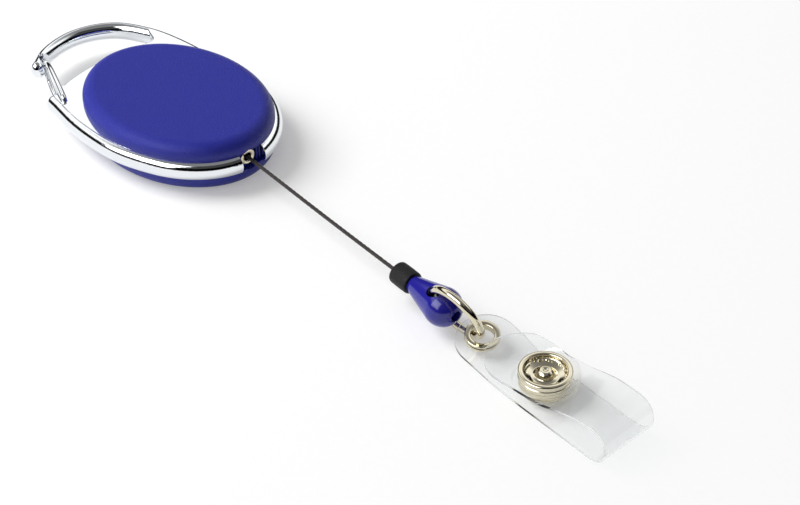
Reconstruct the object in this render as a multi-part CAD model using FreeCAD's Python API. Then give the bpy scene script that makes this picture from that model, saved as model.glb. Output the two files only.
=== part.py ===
"""Retractable badge reel with a carabiner hook, its pull cord, and a snap strap on a jump ring.

Lengths are millimetres and angles degrees.
Row frame: the origin is on the spool's axis, at the flat back face that the reel lies on.
+X runs from the spool to the mouth that the cord leaves by, and +Z points out of the front cover.
"""
import FreeCAD, Part
import math
import os

V = FreeCAD.Vector
X_AXIS = V(1, 0, 0)
Y_AXIS = V(0, 1, 0)
Z_AXIS = V(0, 0, 1)

# ---------------------------------------------------------------- driving dimensions
# Covers: two oval shells, one on each face of the frame.
COVER_A = 24.7               # half length of the oval
COVER_B = 18.7               # half width of the oval
COVER_WALL = 1.2
FRONT_HEIGHT = 3.55          # front cover above the frame
BACK_HEIGHT = 3.55           # back cover below the frame
FRONT_SHOULDER = 3.1         # rounding of the front cover's edge
BACK_SHOULDER = 2.6
LIP_HEIGHT = 1.0             # locating lip that enters the frame's window
LIP_WALL = 0.9
LEDGE = 0.6                  # height of the step that carries each lip
LEDGE_INSET = 0.4
FIT_GAP = 0.1                # clearance of the lips and the guide in the frame

# Frame: chromed plate with the rounded rim and the hook in one piece.
FRAME_THICKNESS = 4.3
BAR_HALF = 1.6               # half the width of the rim's and the hook's rounded bar
RIM_INSET = 0.0              # middle of the rim inside the covers' edge
RIM_LEAVE = 98               # where the rim leaves the oval on the far side, in degrees from the mouth
RIM_LEAVE_NEAR = 62          # the same on the near side, which stands out further
WINDOW_INSET = 2.4           # window edge inside the covers' edge
HOOK_EDGE = 0.35             # rounding of the frame's edge along the hook's opening
SLAB_INSET = 0.3             # flat of the frame, inside the middle of its rounded rim

# Plan of the frame outside the covers, all (x, y).
GATE_CORNER = (-21.9, -18.1)
RIM_NEAR = [(-13.5, -19.35), (-4.5, -19.75), (4.0, -18.95)]
RIM_FAR = [(-12.4, 17.9), (-22.0, 17.1)]
HOOK_WAY = (-0.92, -0.39)     # direction of the bar where the hook begins
HOOK_ROOT = (-30.6, 15.1)
HOOK_POINTS = [(-37.6, 11.3), (-41.5, 4.9), (-41.9, -1.9), (-39.9, -8.1)]
NOSE = (-36.6, -12.4)
OPENING_TURN = [(-27.8, 13.75), (-26.2, 12.9)]
OPENING_POINTS = [(-25.7, 11.4), (-26.3, 6.0), (-26.7, -1.0), (-26.1, -7.0), (-24.3, -13.6)]

# Gate: a bent wire whose two ends turn into holes in the frame.
GATE_WIRE = 1.25
GATE_PIVOT = (-18.8, -17.2)
GATE_END = (-38.0, -9.9)
GATE_CLEARANCE = 0.12        # between each leg and the frame's faces
GATE_PIN_DEPTH = 1.2
GATE_PIN_BEND = 0.9          # radius where each leg turns into its pin
GATE_END_BEND = 2.0          # radius of the closed end's corners
GATE_HOLE_GAP = 0.06         # radial
GATE_HOLE_REST = 0.1         # hole beyond the pin's end
NOTCH_LENGTH = 3.2
NOTCH_GAP = 0.3              # round the closed end where the hook's nose is notched
NOTCH_INWARD = 3.2           # the notch is open towards the hook's opening, as far as this from the gate's line

# Mouth of the reel.
MOUTH_X = 23.8               # outer face of the eyelet
MOUTH_GAP = 6.2              # gap between the frame's two ends
GUIDE_INNER_X = 18.0
EYELET_FLANGE_R = 1.9
EYELET_FLANGE = 0.5
EYELET_BARREL_R = 1.4
EYELET_BORE_R = 0.95
EYELET_LENGTH = 3.8
MOUTH_RECESS_R = 2.55        # rounded recess in both covers in front of the eyelet

# Spool, its steel axle and its spring.
AXLE_R = 1.5
AXLE_GAP = 0.05              # radial running clearance
AXLE_SLOT = 0.5
SEAT_DEPTH = 0.7             # the axle's ends in the covers
PRESS_GAP = 0.02
BOSS_R = 2.7
END_PLAY = 0.1
GROOVE_WIDTH = 2.6
FLANGE_R = 14.6
FLANGE = 0.6
DRUM_R = 9.0
DRUM_WALL = 1.0
SPRING_HEIGHT = 3.2
SPRING_STRIP = 0.22
SPRING_TURNS = 6
SPRING_COVER = 0.6
HUB_RISE = 1.4               # hub above the upper flange
COVER_DROP = 1.7             # spring cover below the lower flange
COIL_GAP = 0.15              # round the spring
POST_R = 1.0                 # pins of the back cover that join the covers
POST_SLEEVE = 0.7
POST_PLACE = (17.4, 5.9)

# Cord.
CORD_D = 0.83
CORD_TOTAL = 800.0
CORD_TURN_R = 3.2            # where it turns into the eyelet
CORD_GAP = 0.06              # radial clearance in the bumper and the bead
LEAD_GAP = 0.35              # between the mouth and the free cord's first face
LEAD_LENGTH = 2.6
PULL_YAW = -4.5              # direction of the cord in plan

# Bumper, bead and knot, measured along the cord from the mouth.
BUMPER_START = 50.1
BUMPER_LENGTH = 4.6
BUMPER_R = 2.1
BUMPER_EDGE = 0.35
BEAD_NECK_R = 2.0
BEAD_R = 3.95
BEAD_LENGTH = 12.8
BEAD_SWELL = 0.13            # how much more the bead widens into its ball than a straight cone, in radians
BEAD_HOLE_R = 1.35           # hole that the ring passes through
BEAD_HOLE_BACK = 0.4         # its middle behind the ring's wire, which is pulled against its far side
BEAD_END_HOLE_R = 1.15
KNOT_R = 1.05
KNOT_LENGTH = 2.2
KNOT_START = 3.1             # from the bead's narrow end

# Jump ring.
RING_R = 6.0                 # to the middle of the wire
RING_WIRE = 1.6
RING_HOLE = 6.7              # its hole, from the bead's narrow end
RING_YAW = -1.0              # in plan
RING_LEAN = 15.0             # away from upright
FLOOR_GAP = 0.05

# Strap of clear vinyl with its grommet.
STRAP_WIDTH = 12.4
SHEET = 0.5
STRAP_YAW = -3.0
LEG_Z = 0.7                  # middle of the sheet where it lies flat
GROMMET_ON_RING = -43.0      # place on the ring, from its outer side
GROMMET_AHEAD = 0.7          # grommet's middle from the ring's wire, along the strap
GROMMET_BESIDE = 0.8         # the same across it
GROMMET_HOLE_R = 2.1
GROMMET_BARREL = 0.6
GROMMET_R = 3.6
GROMMET_FLANGE = 0.62
END_SLOPE = 14.5             # slope of the strap's end on the ring
END_BEND_R = 18.0
TIP_REACH = 4.8              # strap beyond the grommet's centre
SNAP_T = 16.5                # along the strap from the grommet
LOOP_T = 37.0               # outermost point of the fold
LOOP_LOWER_R = 3.3           # to the middle of the sheet, below the fold's hinge line
LOOP_UPPER_R = 3.2           # the same above it
FLAP_Z = 3.75                # middle of the flap at the snap
FLAP_TIP_T = 2.4
FLAP_TIP_DROP = 0.35
FLAP_FLAT = 6.7              # flat of the flap each side of the snap
FLAP_BEND_R = 5.0
LOOP_CREST = (28.5, 7.4)     # where the flap's rise eases off, along the strap and in height
LOOP_TOP_Z = 8.5             # height that the eased run would reach over the fold
CREST_BEND_R = 9.0
FOLD_GAP = 0.3               # each side of the fold's hinge line
FOLD_REST = 0.05             # upright run between the lower bend and that gap

# Press stud.
POST_FLANGE_R = 3.0
SHANK_R = 1.4
SHANK_RISE = 0.3             # shank into the stud's knob
STUD_R = 4.4
STUD_BASE = 0.8
KNOB_R = 2.0
KNOB_NECK_R = 1.8
KNOB_HEIGHT = 1.35
SOCKET_R = 4.85
SOCKET_HEIGHT = 1.5
SOCKET_POCKET_R = 2.2
CAP_R = 5.1
CAP_HEIGHT = 2.1
CAP_RIM = 1.1
CAP_FLOOR = 0.6
NUB_R = 1.25
NUB_HEIGHT = 1.5

# ---------------------------------------------------------------- derived places
FRAME_Z0 = BACK_HEIGHT
FRAME_Z1 = FRAME_Z0 + FRAME_THICKNESS
CORD_Z = (FRAME_Z0 + FRAME_Z1) / 2
TOP_Z = FRAME_Z1 + FRONT_HEIGHT
WINDOW_A = COVER_A - WINDOW_INSET
WINDOW_B = COVER_B - WINDOW_INSET
CORD_R = CORD_D / 2
GROOVE_Z0 = CORD_Z - GROOVE_WIDTH / 2
GROOVE_Z1 = CORD_Z + GROOVE_WIDTH / 2
BEAD_START = BUMPER_START + BUMPER_LENGTH
HINGE_Z = LEG_Z + LOOP_LOWER_R + FOLD_REST + FOLD_GAP
WOUND_SECTION = CORD_D ** 2
WOUND_LENGTH = CORD_TOTAL - BEAD_START - KNOT_START - MOUTH_X
WOUND_HEIGHT = GROOVE_WIDTH - 0.1
WOUND_INNER_R = DRUM_R + 0.05
WOUND_R = math.sqrt(WOUND_INNER_R ** 2 + WOUND_LENGTH * WOUND_SECTION / (math.pi * WOUND_HEIGHT))

SPRING_COVER_Z0 = GROOVE_Z0 - FLANGE - COVER_DROP
SPRING_Z0 = SPRING_COVER_Z0 + SPRING_COVER + COIL_GAP
DRUM_INNER_R = DRUM_R - DRUM_WALL
SPRING_INNER_R = AXLE_R + 0.5
SPRING_OUTER_R = DRUM_INNER_R - COIL_GAP
LEG_TOP = LEG_Z + SHEET / 2
LEG_BOTTOM = LEG_Z - SHEET / 2
FLAP_TOP = FLAP_Z + SHEET / 2
FLAP_BOTTOM = FLAP_Z - SHEET / 2


def solid_of(shape):
    """The shape as one clean solid."""
    shape = shape.removeSplitter()
    return shape.Solids[0] if len(shape.Solids) == 1 else shape


def cylinder(radius, z0, z1, x=0.0, y=0.0):
    return Part.makeCylinder(radius, z1 - z0, V(x, y, z0), Z_AXIS)


def tube(outer, inner, z0, z1, x=0.0, y=0.0):
    return cylinder(outer, z0, z1, x, y).cut(cylinder(inner, z0 - 1, z1 + 1, x, y))


def box(x0, x1, y0, y1, z0, z1):
    return Part.makeBox(x1 - x0, y1 - y0, z1 - z0, V(x0, y0, z0))


def oval(a, b, z0, z1):
    """Upright prism on an ellipse with half axes a and b."""
    edge = Part.Ellipse(V(0, 0, z0), a, b).toShape()
    return Part.Face(Part.Wire(edge)).extrude(V(0, 0, z1 - z0))


def edges_at(shape, z, tolerance=1e-4):
    """Edges that lie wholly at height z."""
    found = []
    for edge in shape.Edges:
        bounds = edge.BoundBox
        if abs(bounds.ZMin - z) < tolerance and abs(bounds.ZMax - z) < tolerance:
            found.append(edge)
    return found


def revolve(points, origin, axis, radial):
    """Full turn of a closed outline given as (along, out) pairs."""
    corners = [origin + axis * along + radial * out for along, out in points]
    wire = Part.makePolygon(corners + [corners[0]])
    return Part.Face(wire).revolve(origin, axis, 360)


def turned(outline):
    """Full turn about the local Z axis of an outline given as (radius, height) pairs."""
    return revolve([(z, r) for r, z in outline], V(0, 0, 0), Z_AXIS, X_AXIS)


def placed(shape, placement):
    shape = shape.copy()
    shape.Placement = placement.multiply(shape.Placement)
    return shape


def along(origin, yaw):
    """Placement whose X axis runs level at angle yaw."""
    return FreeCAD.Placement(origin, FreeCAD.Rotation(Z_AXIS, yaw))


def rounded_wire(corners, radii):
    """Straight runs joined by tangent arcs, one radius for each inner corner."""
    edges = []
    start = corners[0]
    for before, corner, after, radius in zip(corners, corners[1:], corners[2:], radii):
        incoming = (corner - before).normalize()
        outgoing = (after - corner).normalize()
        turn = incoming.getAngle(outgoing)
        reach = radius * math.tan(turn / 2)
        first = corner - incoming * reach
        last = corner + outgoing * reach
        middle_way = (outgoing - incoming).normalize()
        middle = corner + middle_way * (radius / math.cos(turn / 2) - radius)
        if (first - start).Length > 1e-6:
            edges.append(Part.LineSegment(start, first).toShape())
        edges.append(Part.Arc(first, middle, last).toShape())
        start = last
    edges.append(Part.LineSegment(start, corners[-1]).toShape())
    return Part.Wire(edges)


def round_bar(path, radius):
    """Round bar along a wire of tangent edges."""
    first = path.Edges[0]
    start = first.valueAt(first.FirstParameter)
    direction = first.tangentAt(first.FirstParameter)
    ring = Part.Wire(Part.Circle(start, direction, radius).toShape())
    return path.makePipeShell([ring], True, True)


# ---------------------------------------------------------------- frame and gate
def spline(places, first_way, last_way):
    """Smooth edge through the places that leaves and ends in the two directions given."""
    curve = Part.BSplineCurve()
    curve.interpolate(Points=places, InitialTangent=first_way, FinalTangent=last_way)
    return curve.toShape()


def rim_edges(inset):
    """Edges along the middle of the rim, drawn inwards by inset, from the gate's corner to the hook's root."""
    oval_curve = Part.Ellipse(V(0, 0, CORD_Z), COVER_A - inset, COVER_B - inset)
    leave = math.radians(RIM_LEAVE)
    leave_near = math.radians(RIM_LEAVE_NEAR)
    oval_edge = Part.ArcOfEllipse(oval_curve, -leave_near, leave).toShape()
    near = oval_curve.value(-leave_near)
    far = oval_curve.value(leave)
    shift = inset - RIM_INSET
    start = V(GATE_CORNER[0] + shift, GATE_CORNER[1] + shift, CORD_Z)
    middle = [V(x, y + shift, CORD_Z) for x, y in RIM_NEAR]
    near_edge = spline([start] + middle + [near], V(0.98, -0.12, 0), oval_curve.tangent(-leave_near)[0])
    back = [far] + [V(x, y - shift, CORD_Z) for x, y in RIM_FAR + [HOOK_ROOT]]
    back_edge = spline(back, oval_curve.tangent(leave)[0], V(*HOOK_WAY, 0))
    return [near_edge, oval_edge, back_edge]


def bar_end(x, y):
    """Rounded end of the hook's bar, a spheroid that is as high as the frame."""
    half = FRAME_THICKNESS / 2
    centre = V(x, y, CORD_Z)
    lower = centre - Z_AXIS * half
    upper = centre + Z_AXIS * half
    curve = Part.Ellipse(upper, centre + X_AXIS * BAR_HALF, centre)
    arc = Part.ArcOfEllipse(curve, -math.pi, 0).toShape()
    chord = Part.LineSegment(lower, upper).toShape()
    return Part.Face(Part.Wire(Part.__sortEdges__([arc, chord]))).revolve(centre, Z_AXIS, 360)


def hook_path():
    places = [V(x, y, CORD_Z) for x, y in [HOOK_ROOT] + HOOK_POINTS + [NOSE]]
    return spline(places, V(*HOOK_WAY, 0), V(0.62, -0.78, 0))


def frame_bar():
    """Bar of half-oval section that runs round the rim and on through the hook."""
    path = Part.Wire(rim_edges(RIM_INSET) + [hook_path()])
    first = path.Edges[0]
    start = first.valueAt(first.FirstParameter)
    side = first.tangentAt(first.FirstParameter).cross(Z_AXIS).normalize()
    section = Part.Ellipse(start + Z_AXIS * FRAME_THICKNESS / 2, start + side * BAR_HALF, start)
    return path.makePipeShell([Part.Wire(section.toShape())], True, False)


def frame_slab():
    """Flat of the frame inside its rim, with the edge that faces the hook's opening."""
    sides = rim_edges(RIM_INSET + SLAB_INSET)
    begin = sides[0].valueAt(sides[0].FirstParameter)
    root = sides[-1].valueAt(sides[-1].LastParameter)
    top = V(*OPENING_POINTS[0], CORD_Z)
    corner = [V(x, y, CORD_Z) for x, y in OPENING_TURN]
    turn = spline([root] + corner + [top], V(0.9, -0.4, 0), V(-0.1, -1, 0))
    opening = spline([V(x, y, CORD_Z) for x, y in OPENING_POINTS], V(-0.1, -1, 0), V(0.4, -0.9, 0))
    shoulder = Part.LineSegment(V(*OPENING_POINTS[-1], CORD_Z), begin).toShape()
    outline = Part.Wire(Part.__sortEdges__(sides + [turn, opening, shoulder]))
    face = Part.Face(outline)
    face.translate(V(0, 0, FRAME_Z0 - CORD_Z))
    slab = face.extrude(V(0, 0, FRAME_THICKNESS))
    rounded = [edge for z in (FRAME_Z0, FRAME_Z1) for edge in edges_at(slab, z)
               if edge.Length > 20 and edge.BoundBox.XMax < OPENING_POINTS[-1][0] + 0.1
               and edge.BoundBox.XMin > OPENING_POINTS[2][0] - 0.5]
    return slab.makeFillet(HOOK_EDGE, rounded)


def gate_frame():
    """Placement at the gate's pivot whose X axis runs along the closed gate."""
    pivot = V(*GATE_PIVOT, CORD_Z)
    end = V(*GATE_END, CORD_Z)
    yaw = math.degrees(math.atan2(end.y - pivot.y, end.x - pivot.x))
    return along(pivot, yaw), (end - pivot).Length


def gate_path():
    """Middle line of the gate's wire in its own frame: pin, leg, closed end, leg, pin."""
    length = gate_frame()[1]
    leg = FRAME_THICKNESS / 2 + GATE_CLEARANCE + GATE_WIRE / 2
    pin = FRAME_THICKNESS / 2 - GATE_PIN_DEPTH
    corners = [V(0, 0, pin), V(0, 0, leg), V(length, 0, leg), V(length, 0, -leg), V(0, 0, -leg), V(0, 0, -pin)]
    return rounded_wire(corners, [GATE_PIN_BEND, GATE_END_BEND, GATE_END_BEND, GATE_PIN_BEND])


def make_gate():
    return placed(round_bar(gate_path(), GATE_WIRE / 2), gate_frame()[0])


def make_frame():
    body = frame_bar().fuse([frame_slab(), bar_end(*NOSE), bar_end(*GATE_CORNER)])
    body = body.cut(oval(WINDOW_A, WINDOW_B, FRAME_Z0 - 1, FRAME_Z1 + 1))
    half = MOUTH_GAP / 2
    body = body.cut(box(GUIDE_INNER_X - 4, COVER_A + 5, -half, half, FRAME_Z0 - 1, FRAME_Z1 + 1))
    for z0 in (FRAME_Z0 - GATE_HOLE_REST, FRAME_Z1 - GATE_PIN_DEPTH - GATE_HOLE_REST):
        z1 = z0 + GATE_PIN_DEPTH + 2 * GATE_HOLE_REST
        body = body.cut(cylinder(GATE_WIRE / 2 + GATE_HOLE_GAP, z0, z1, *GATE_PIVOT))
    place, length = gate_frame()
    reach = GATE_WIRE / 2 + NOTCH_GAP
    notch = box(length - NOTCH_LENGTH, length + reach, -NOTCH_INWARD, reach, -FRAME_THICKNESS, FRAME_THICKNESS)
    return body.cut(placed(notch, place)).Solids[0]


# ---------------------------------------------------------------- covers
def cover_posts():
    x, y = POST_PLACE
    return [(sx * x, sy * y) for sx in (-1, 1) for sy in (-1, 1)]


def mouth_recess():
    """Round channel in front of the eyelet, which the bumper parks in."""
    return Part.makeCylinder(MOUTH_RECESS_R, 12, V(MOUTH_X - EYELET_FLANGE, 0, CORD_Z), X_AXIS)


def lip_notch():
    half = MOUTH_GAP / 2 + 0.2
    return box(GUIDE_INNER_X - 1.5, COVER_A + 1, -half, half, FRAME_Z0 - 0.001, FRAME_Z1 + 0.001)


def shell(z_face, height, shoulder, upward):
    """Oval cover that stands on the frame's face at z_face and closes away from it."""
    z_end = z_face + height if upward else z_face - height
    low, high = min(z_face, z_end), max(z_face, z_end)
    outer = oval(COVER_A, COVER_B, low, high)
    outer = outer.makeFillet(shoulder, edges_at(outer, z_end))
    inner_end = z_end - COVER_WALL if upward else z_end + COVER_WALL
    low, high = min(z_face, inner_end), max(z_face, inner_end)
    inner = oval(COVER_A - COVER_WALL, COVER_B - COVER_WALL, low, high)
    inner = inner.makeFillet(shoulder - COVER_WALL, edges_at(inner, inner_end))
    lip_a = WINDOW_A - FIT_GAP
    lip_b = WINDOW_B - FIT_GAP
    lip_end = z_face - LIP_HEIGHT if upward else z_face + LIP_HEIGHT
    ledge_end = z_face + LEDGE if upward else z_face - LEDGE
    low, high = min(lip_end, ledge_end), max(lip_end, ledge_end)
    lip = oval(lip_a, lip_b, low, high).cut(oval(lip_a - LIP_WALL, lip_b - LIP_WALL, low - 1, high + 1))
    low, high = min(z_face, ledge_end), max(z_face, ledge_end)
    ledge = oval(COVER_A - LEDGE_INSET, COVER_B - LEDGE_INSET, low, high)
    ledge = ledge.cut(oval(lip_a - LIP_WALL, lip_b - LIP_WALL, low - 1, high + 1))
    ledge = ledge.common(outer)
    return outer.cut(inner).fuse([lip, ledge])


def make_front_cover():
    body = shell(FRAME_Z1, FRONT_HEIGHT, FRONT_SHOULDER, True)
    ceiling = TOP_Z - COVER_WALL
    hub_top = GROOVE_Z1 + FLANGE + HUB_RISE
    body = body.fuse(cylinder(BOSS_R, hub_top + END_PLAY, ceiling + 0.1))
    sleeves = [cylinder(POST_R + POST_SLEEVE, FRAME_Z1 - LIP_HEIGHT, ceiling + 0.1, x, y)
               for x, y in cover_posts()]
    body = body.fuse(sleeves)
    holes = [cylinder(POST_R + PRESS_GAP, FRAME_Z0, ceiling - 0.3, x, y) for x, y in cover_posts()]
    holes.append(cylinder(AXLE_R + PRESS_GAP, hub_top, ceiling + SEAT_DEPTH, 0, 0))
    return solid_of(body.cut(holes).cut(lip_notch()).cut(mouth_recess()))


def make_back_cover():
    body = shell(FRAME_Z0, BACK_HEIGHT, BACK_SHOULDER, False)
    seat_top = SPRING_COVER_Z0 - END_PLAY
    body = body.fuse(cylinder(BOSS_R, COVER_WALL - 0.1, seat_top))
    ceiling = TOP_Z - COVER_WALL
    posts = [cylinder(POST_R, COVER_WALL - 0.1, ceiling - 0.4, x, y) for x, y in cover_posts()]
    collars = [cylinder(POST_R + POST_SLEEVE, COVER_WALL - 0.1, FRAME_Z0 + LIP_HEIGHT, x, y)
               for x, y in cover_posts()]
    body = body.fuse(posts + collars)
    body = body.cut(cylinder(AXLE_R + PRESS_GAP, COVER_WALL - SEAT_DEPTH, seat_top + 1))
    return solid_of(body.cut(lip_notch()).cut(mouth_recess()))


# ---------------------------------------------------------------- mouth
def make_exit_guide():
    half = MOUTH_GAP / 2 - FIT_GAP
    body = box(GUIDE_INNER_X, MOUTH_X - EYELET_FLANGE, -half, half, FRAME_Z0 + 0.05, FRAME_Z1 - 0.05)
    bore = Part.makeCylinder(EYELET_BARREL_R + PRESS_GAP, 9, V(GUIDE_INNER_X - 1, 0, CORD_Z), X_AXIS)
    flare = Part.makeCone(EYELET_BARREL_R + 0.9, EYELET_BARREL_R, 1.2, V(GUIDE_INNER_X, 0, CORD_Z), X_AXIS)
    return solid_of(body.cut(bore).cut(flare))


def make_eyelet():
    """Rolled eyelet about +X: a barrel in the guide and a rounded flange at the mouth."""
    origin = V(MOUTH_X, 0, CORD_Z)
    inner = EYELET_BORE_R
    outline = [(-EYELET_LENGTH, inner), (-EYELET_LENGTH, EYELET_BARREL_R), (-EYELET_FLANGE, EYELET_BARREL_R),
               (-EYELET_FLANGE, EYELET_FLANGE_R), (-0.2, EYELET_FLANGE_R), (0, EYELET_FLANGE_R - 0.25),
               (0, inner + 0.35), (-0.35, inner)]
    return revolve(outline, origin, X_AXIS, Z_AXIS)


# ---------------------------------------------------------------- spool
def make_axle():
    top = TOP_Z - COVER_WALL + SEAT_DEPTH - 0.05
    body = cylinder(AXLE_R, COVER_WALL - SEAT_DEPTH + 0.05, top)
    slot = box(-AXLE_SLOT / 2, AXLE_SLOT / 2, 0, AXLE_R + 1, SPRING_Z0 - PRESS_GAP * 5,
               SPRING_Z0 + SPRING_HEIGHT + PRESS_GAP * 5)
    return solid_of(body.cut(slot))


def make_spool():
    bore = AXLE_R + AXLE_GAP
    cavity_top = SPRING_Z0 + SPRING_HEIGHT + COIL_GAP
    web_top = GROOVE_Z1 + FLANGE
    parts = [tube(FLANGE_R, DRUM_INNER_R, GROOVE_Z0 - FLANGE, GROOVE_Z0),
             tube(FLANGE_R, DRUM_INNER_R, GROOVE_Z1, web_top),
             tube(DRUM_R, DRUM_INNER_R, SPRING_COVER_Z0, web_top),
             tube(DRUM_INNER_R + 0.5, bore, cavity_top, web_top),
             tube(BOSS_R, bore, cavity_top, web_top + HUB_RISE)]
    return solid_of(parts[0].fuse(parts[1:]))


def make_spring_cover():
    body = tube(DRUM_INNER_R - PRESS_GAP, AXLE_R + AXLE_GAP, SPRING_COVER_Z0, SPRING_COVER_Z0 + SPRING_COVER)
    return solid_of(body)


def make_spring():
    """Flat spiral strip of half turns about two centres, with its inner end bent into the axle's slot."""
    pitch = (SPRING_OUTER_R - SPRING_INNER_R - SPRING_STRIP) / SPRING_TURNS
    start = V(0, SPRING_INNER_R, SPRING_Z0)
    edges = []
    for offset in (0.0, SPRING_STRIP):
        for half_turn in range(2 * SPRING_TURNS):
            radius = SPRING_INNER_R + pitch * half_turn / 2 + offset
            sign = 1 if half_turn % 2 == 0 else -1
            middle = V(0, 0 if sign > 0 else pitch / 2, SPRING_Z0)
            first = middle + Y_AXIS * sign * radius
            last = middle - Y_AXIS * sign * radius
            edges.append(Part.Arc(first, middle - X_AXIS * sign * radius, last).toShape())
        outer_end = edges[-1].valueAt(edges[-1].LastParameter)
        if offset == 0:
            inner_end = outer_end
    edges.append(Part.LineSegment(inner_end, outer_end).toShape())
    tab = AXLE_R * 0.6
    corners = [start, V(0, tab, SPRING_Z0), V(SPRING_STRIP, tab, SPRING_Z0),
               V(SPRING_STRIP, SPRING_INNER_R, SPRING_Z0), start + Y_AXIS * SPRING_STRIP]
    bend = Part.makePolygon(corners)
    wire = Part.Wire(Part.__sortEdges__(edges + bend.Edges))
    return Part.Face(wire).extrude(V(0, 0, SPRING_HEIGHT))


# ---------------------------------------------------------------- cord
def make_wound_cord():
    z0 = CORD_Z - WOUND_HEIGHT / 2
    return solid_of(tube(WOUND_R, WOUND_INNER_R, z0, z0 + WOUND_HEIGHT))


def make_inner_run():
    """Cord from its outermost turn through the guide to the mouth."""
    turn = V(GUIDE_INNER_X - 0.6, 0, CORD_Z)
    radius = WOUND_R + CORD_R + 0.04
    angle = math.acos(radius / turn.x)
    start = V(radius * math.cos(angle), radius * math.sin(angle), CORD_Z)
    return round_bar(rounded_wire([start, turn, V(MOUTH_X, 0, CORD_Z)], [CORD_TURN_R]), CORD_R)


PULL = along(V(MOUTH_X, 0, CORD_Z), PULL_YAW)


def cord_stretch(first, last):
    return placed(Part.makeCylinder(CORD_R, last - first, V(first, 0, 0), X_AXIS), PULL)


def make_bumper():
    hole = CORD_R + CORD_GAP
    edge = BUMPER_EDGE
    length = BUMPER_LENGTH
    outline = [(0, hole), (0, BUMPER_R - edge), (edge, BUMPER_R), (length - edge, BUMPER_R),
               (length, BUMPER_R - edge), (length, hole)]
    return placed(revolve(outline, V(BUMPER_START, 0, 0), X_AXIS, Z_AXIS), PULL)


# ---------------------------------------------------------------- bead and ring
def ring_frame():
    """Placement at the ring's middle: X towards the strap, Z up in the ring's plane."""
    hole = PULL.multVec(V(BEAD_START + RING_HOLE, 0, 0))
    lean = math.radians(RING_LEAN)
    turn = FreeCAD.Rotation(Z_AXIS, RING_YAW).multiply(FreeCAD.Rotation(X_AXIS, RING_LEAN))
    rise = (RING_R * math.cos(lean) + RING_WIRE / 2 + FLOOR_GAP - hole.z) / math.cos(lean)
    middle = hole + turn.multVec(V(RING_R, 0, rise))
    return FreeCAD.Placement(middle, turn)


RING = ring_frame()


def make_ring():
    return placed(Part.makeTorus(RING_R, RING_WIRE / 2, V(0, 0, 0), Y_AXIS), RING)


def bead_bore(radius, first):
    """Bore of the bead about the cord, from first to beyond the bead's round end."""
    bore = Part.makeCylinder(radius, BEAD_LENGTH, V(BEAD_START + first, 0, 0), X_AXIS)
    return placed(bore, PULL)


def make_bead():
    """Drop-shaped bead with a bore for the cord, a pocket for the knot and a cross hole for the ring."""
    ball = BEAD_LENGTH - BEAD_R
    lean = math.atan2(BEAD_R - BEAD_NECK_R, ball) + BEAD_SWELL
    neck = V(0, 0, BEAD_NECK_R)
    meet = V(ball - BEAD_R * math.sin(lean), 0, BEAD_R * math.cos(lean))
    curve = Part.BSplineCurve()
    curve.interpolate(Points=[neck, meet], InitialTangent=V(1, 0, 0.12),
                      FinalTangent=V(math.cos(lean), 0, math.sin(lean)))
    middle = V(ball + BEAD_R * math.sin(0.5), 0, BEAD_R * math.cos(0.5))
    end = V(BEAD_LENGTH, 0, 0)
    sides = [Part.LineSegment(V(0, 0, 0), neck).toShape(), curve.toShape(),
             Part.Arc(meet, middle, end).toShape(), Part.LineSegment(end, V(0, 0, 0)).toShape()]
    body = Part.Face(Part.Wire(sides)).revolve(V(0, 0, 0), X_AXIS, 360)
    body.translate(V(BEAD_START, 0, 0))
    body = placed(body, PULL).cut([bead_bore(CORD_R + CORD_GAP, -1), bead_bore(BEAD_END_HOLE_R, KNOT_START)])
    passage = placed(Part.makeTorus(RING_R, BEAD_HOLE_R, V(-BEAD_HOLE_BACK, 0, 0), Y_AXIS), RING)
    return solid_of(body.cut(passage))


def make_knot():
    rounding = 0.45
    body = Part.makeCylinder(KNOT_R, KNOT_LENGTH, V(BEAD_START + KNOT_START + 0.05, 0, 0), X_AXIS)
    rims = [edge for edge in body.Edges if edge.Closed]
    return solid_of(placed(body.makeFillet(rounding, rims), PULL))


# ---------------------------------------------------------------- strap
def strap_frames():
    """Placements of the strap: level at the snap's side, and on its sloping end at the grommet."""
    place = math.radians(GROMMET_ON_RING)
    offset = V(GROMMET_AHEAD, GROMMET_BESIDE, 0)
    on_ring = RING.multVec(V(RING_R * math.cos(place), 0, RING_R * math.sin(place)) + offset)
    level = along(V(on_ring.x, on_ring.y, 0), STRAP_YAW)
    sloped = level.multiply(FreeCAD.Placement(V(0, 0, on_ring.z), FreeCAD.Rotation(Y_AXIS, END_SLOPE)))
    return level, sloped, on_ring.z


STRAP, STRAP_END, GROMMET_Z = strap_frames()


def ribbon(corners, radii):
    """Side profile of the sheet, half its thickness each side of the path, widened to the strap's width."""
    path = rounded_wire([V(t, 0, z) for t, z in corners], radii)
    start = path.Edges[0].valueAt(path.Edges[0].FirstParameter)
    way = path.Edges[0].tangentAt(path.Edges[0].FirstParameter)
    side = way.cross(Y_AXIS).normalize() * (SHEET / 2)
    across = Y_AXIS * (STRAP_WIDTH / 2)
    section = [start + side + across, start + side - across, start - side - across, start - side + across]
    return path.makePipeShell([Part.makePolygon(section + [section[0]])], True, True)


def end_cutter(tip):
    """Upright prism with a round end at tip, as wide as the strap and longer than it."""
    half = STRAP_WIDTH / 2
    body = box(tip + half, LOOP_T + 20, -half - 1, half + 1, -5, 20)
    return body.fuse(cylinder(half, -5, 20, tip + half, 0))


def leg_corners():
    slope = math.tan(math.radians(END_SLOPE))
    tip = -TIP_REACH
    meet = (GROMMET_Z - LEG_Z) / slope
    return [(tip - 0.5, GROMMET_Z + (0.5 - tip) * slope), (meet, LEG_Z), (LOOP_T, LEG_Z),
            (LOOP_T, HINGE_Z - FOLD_GAP)]


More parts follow.
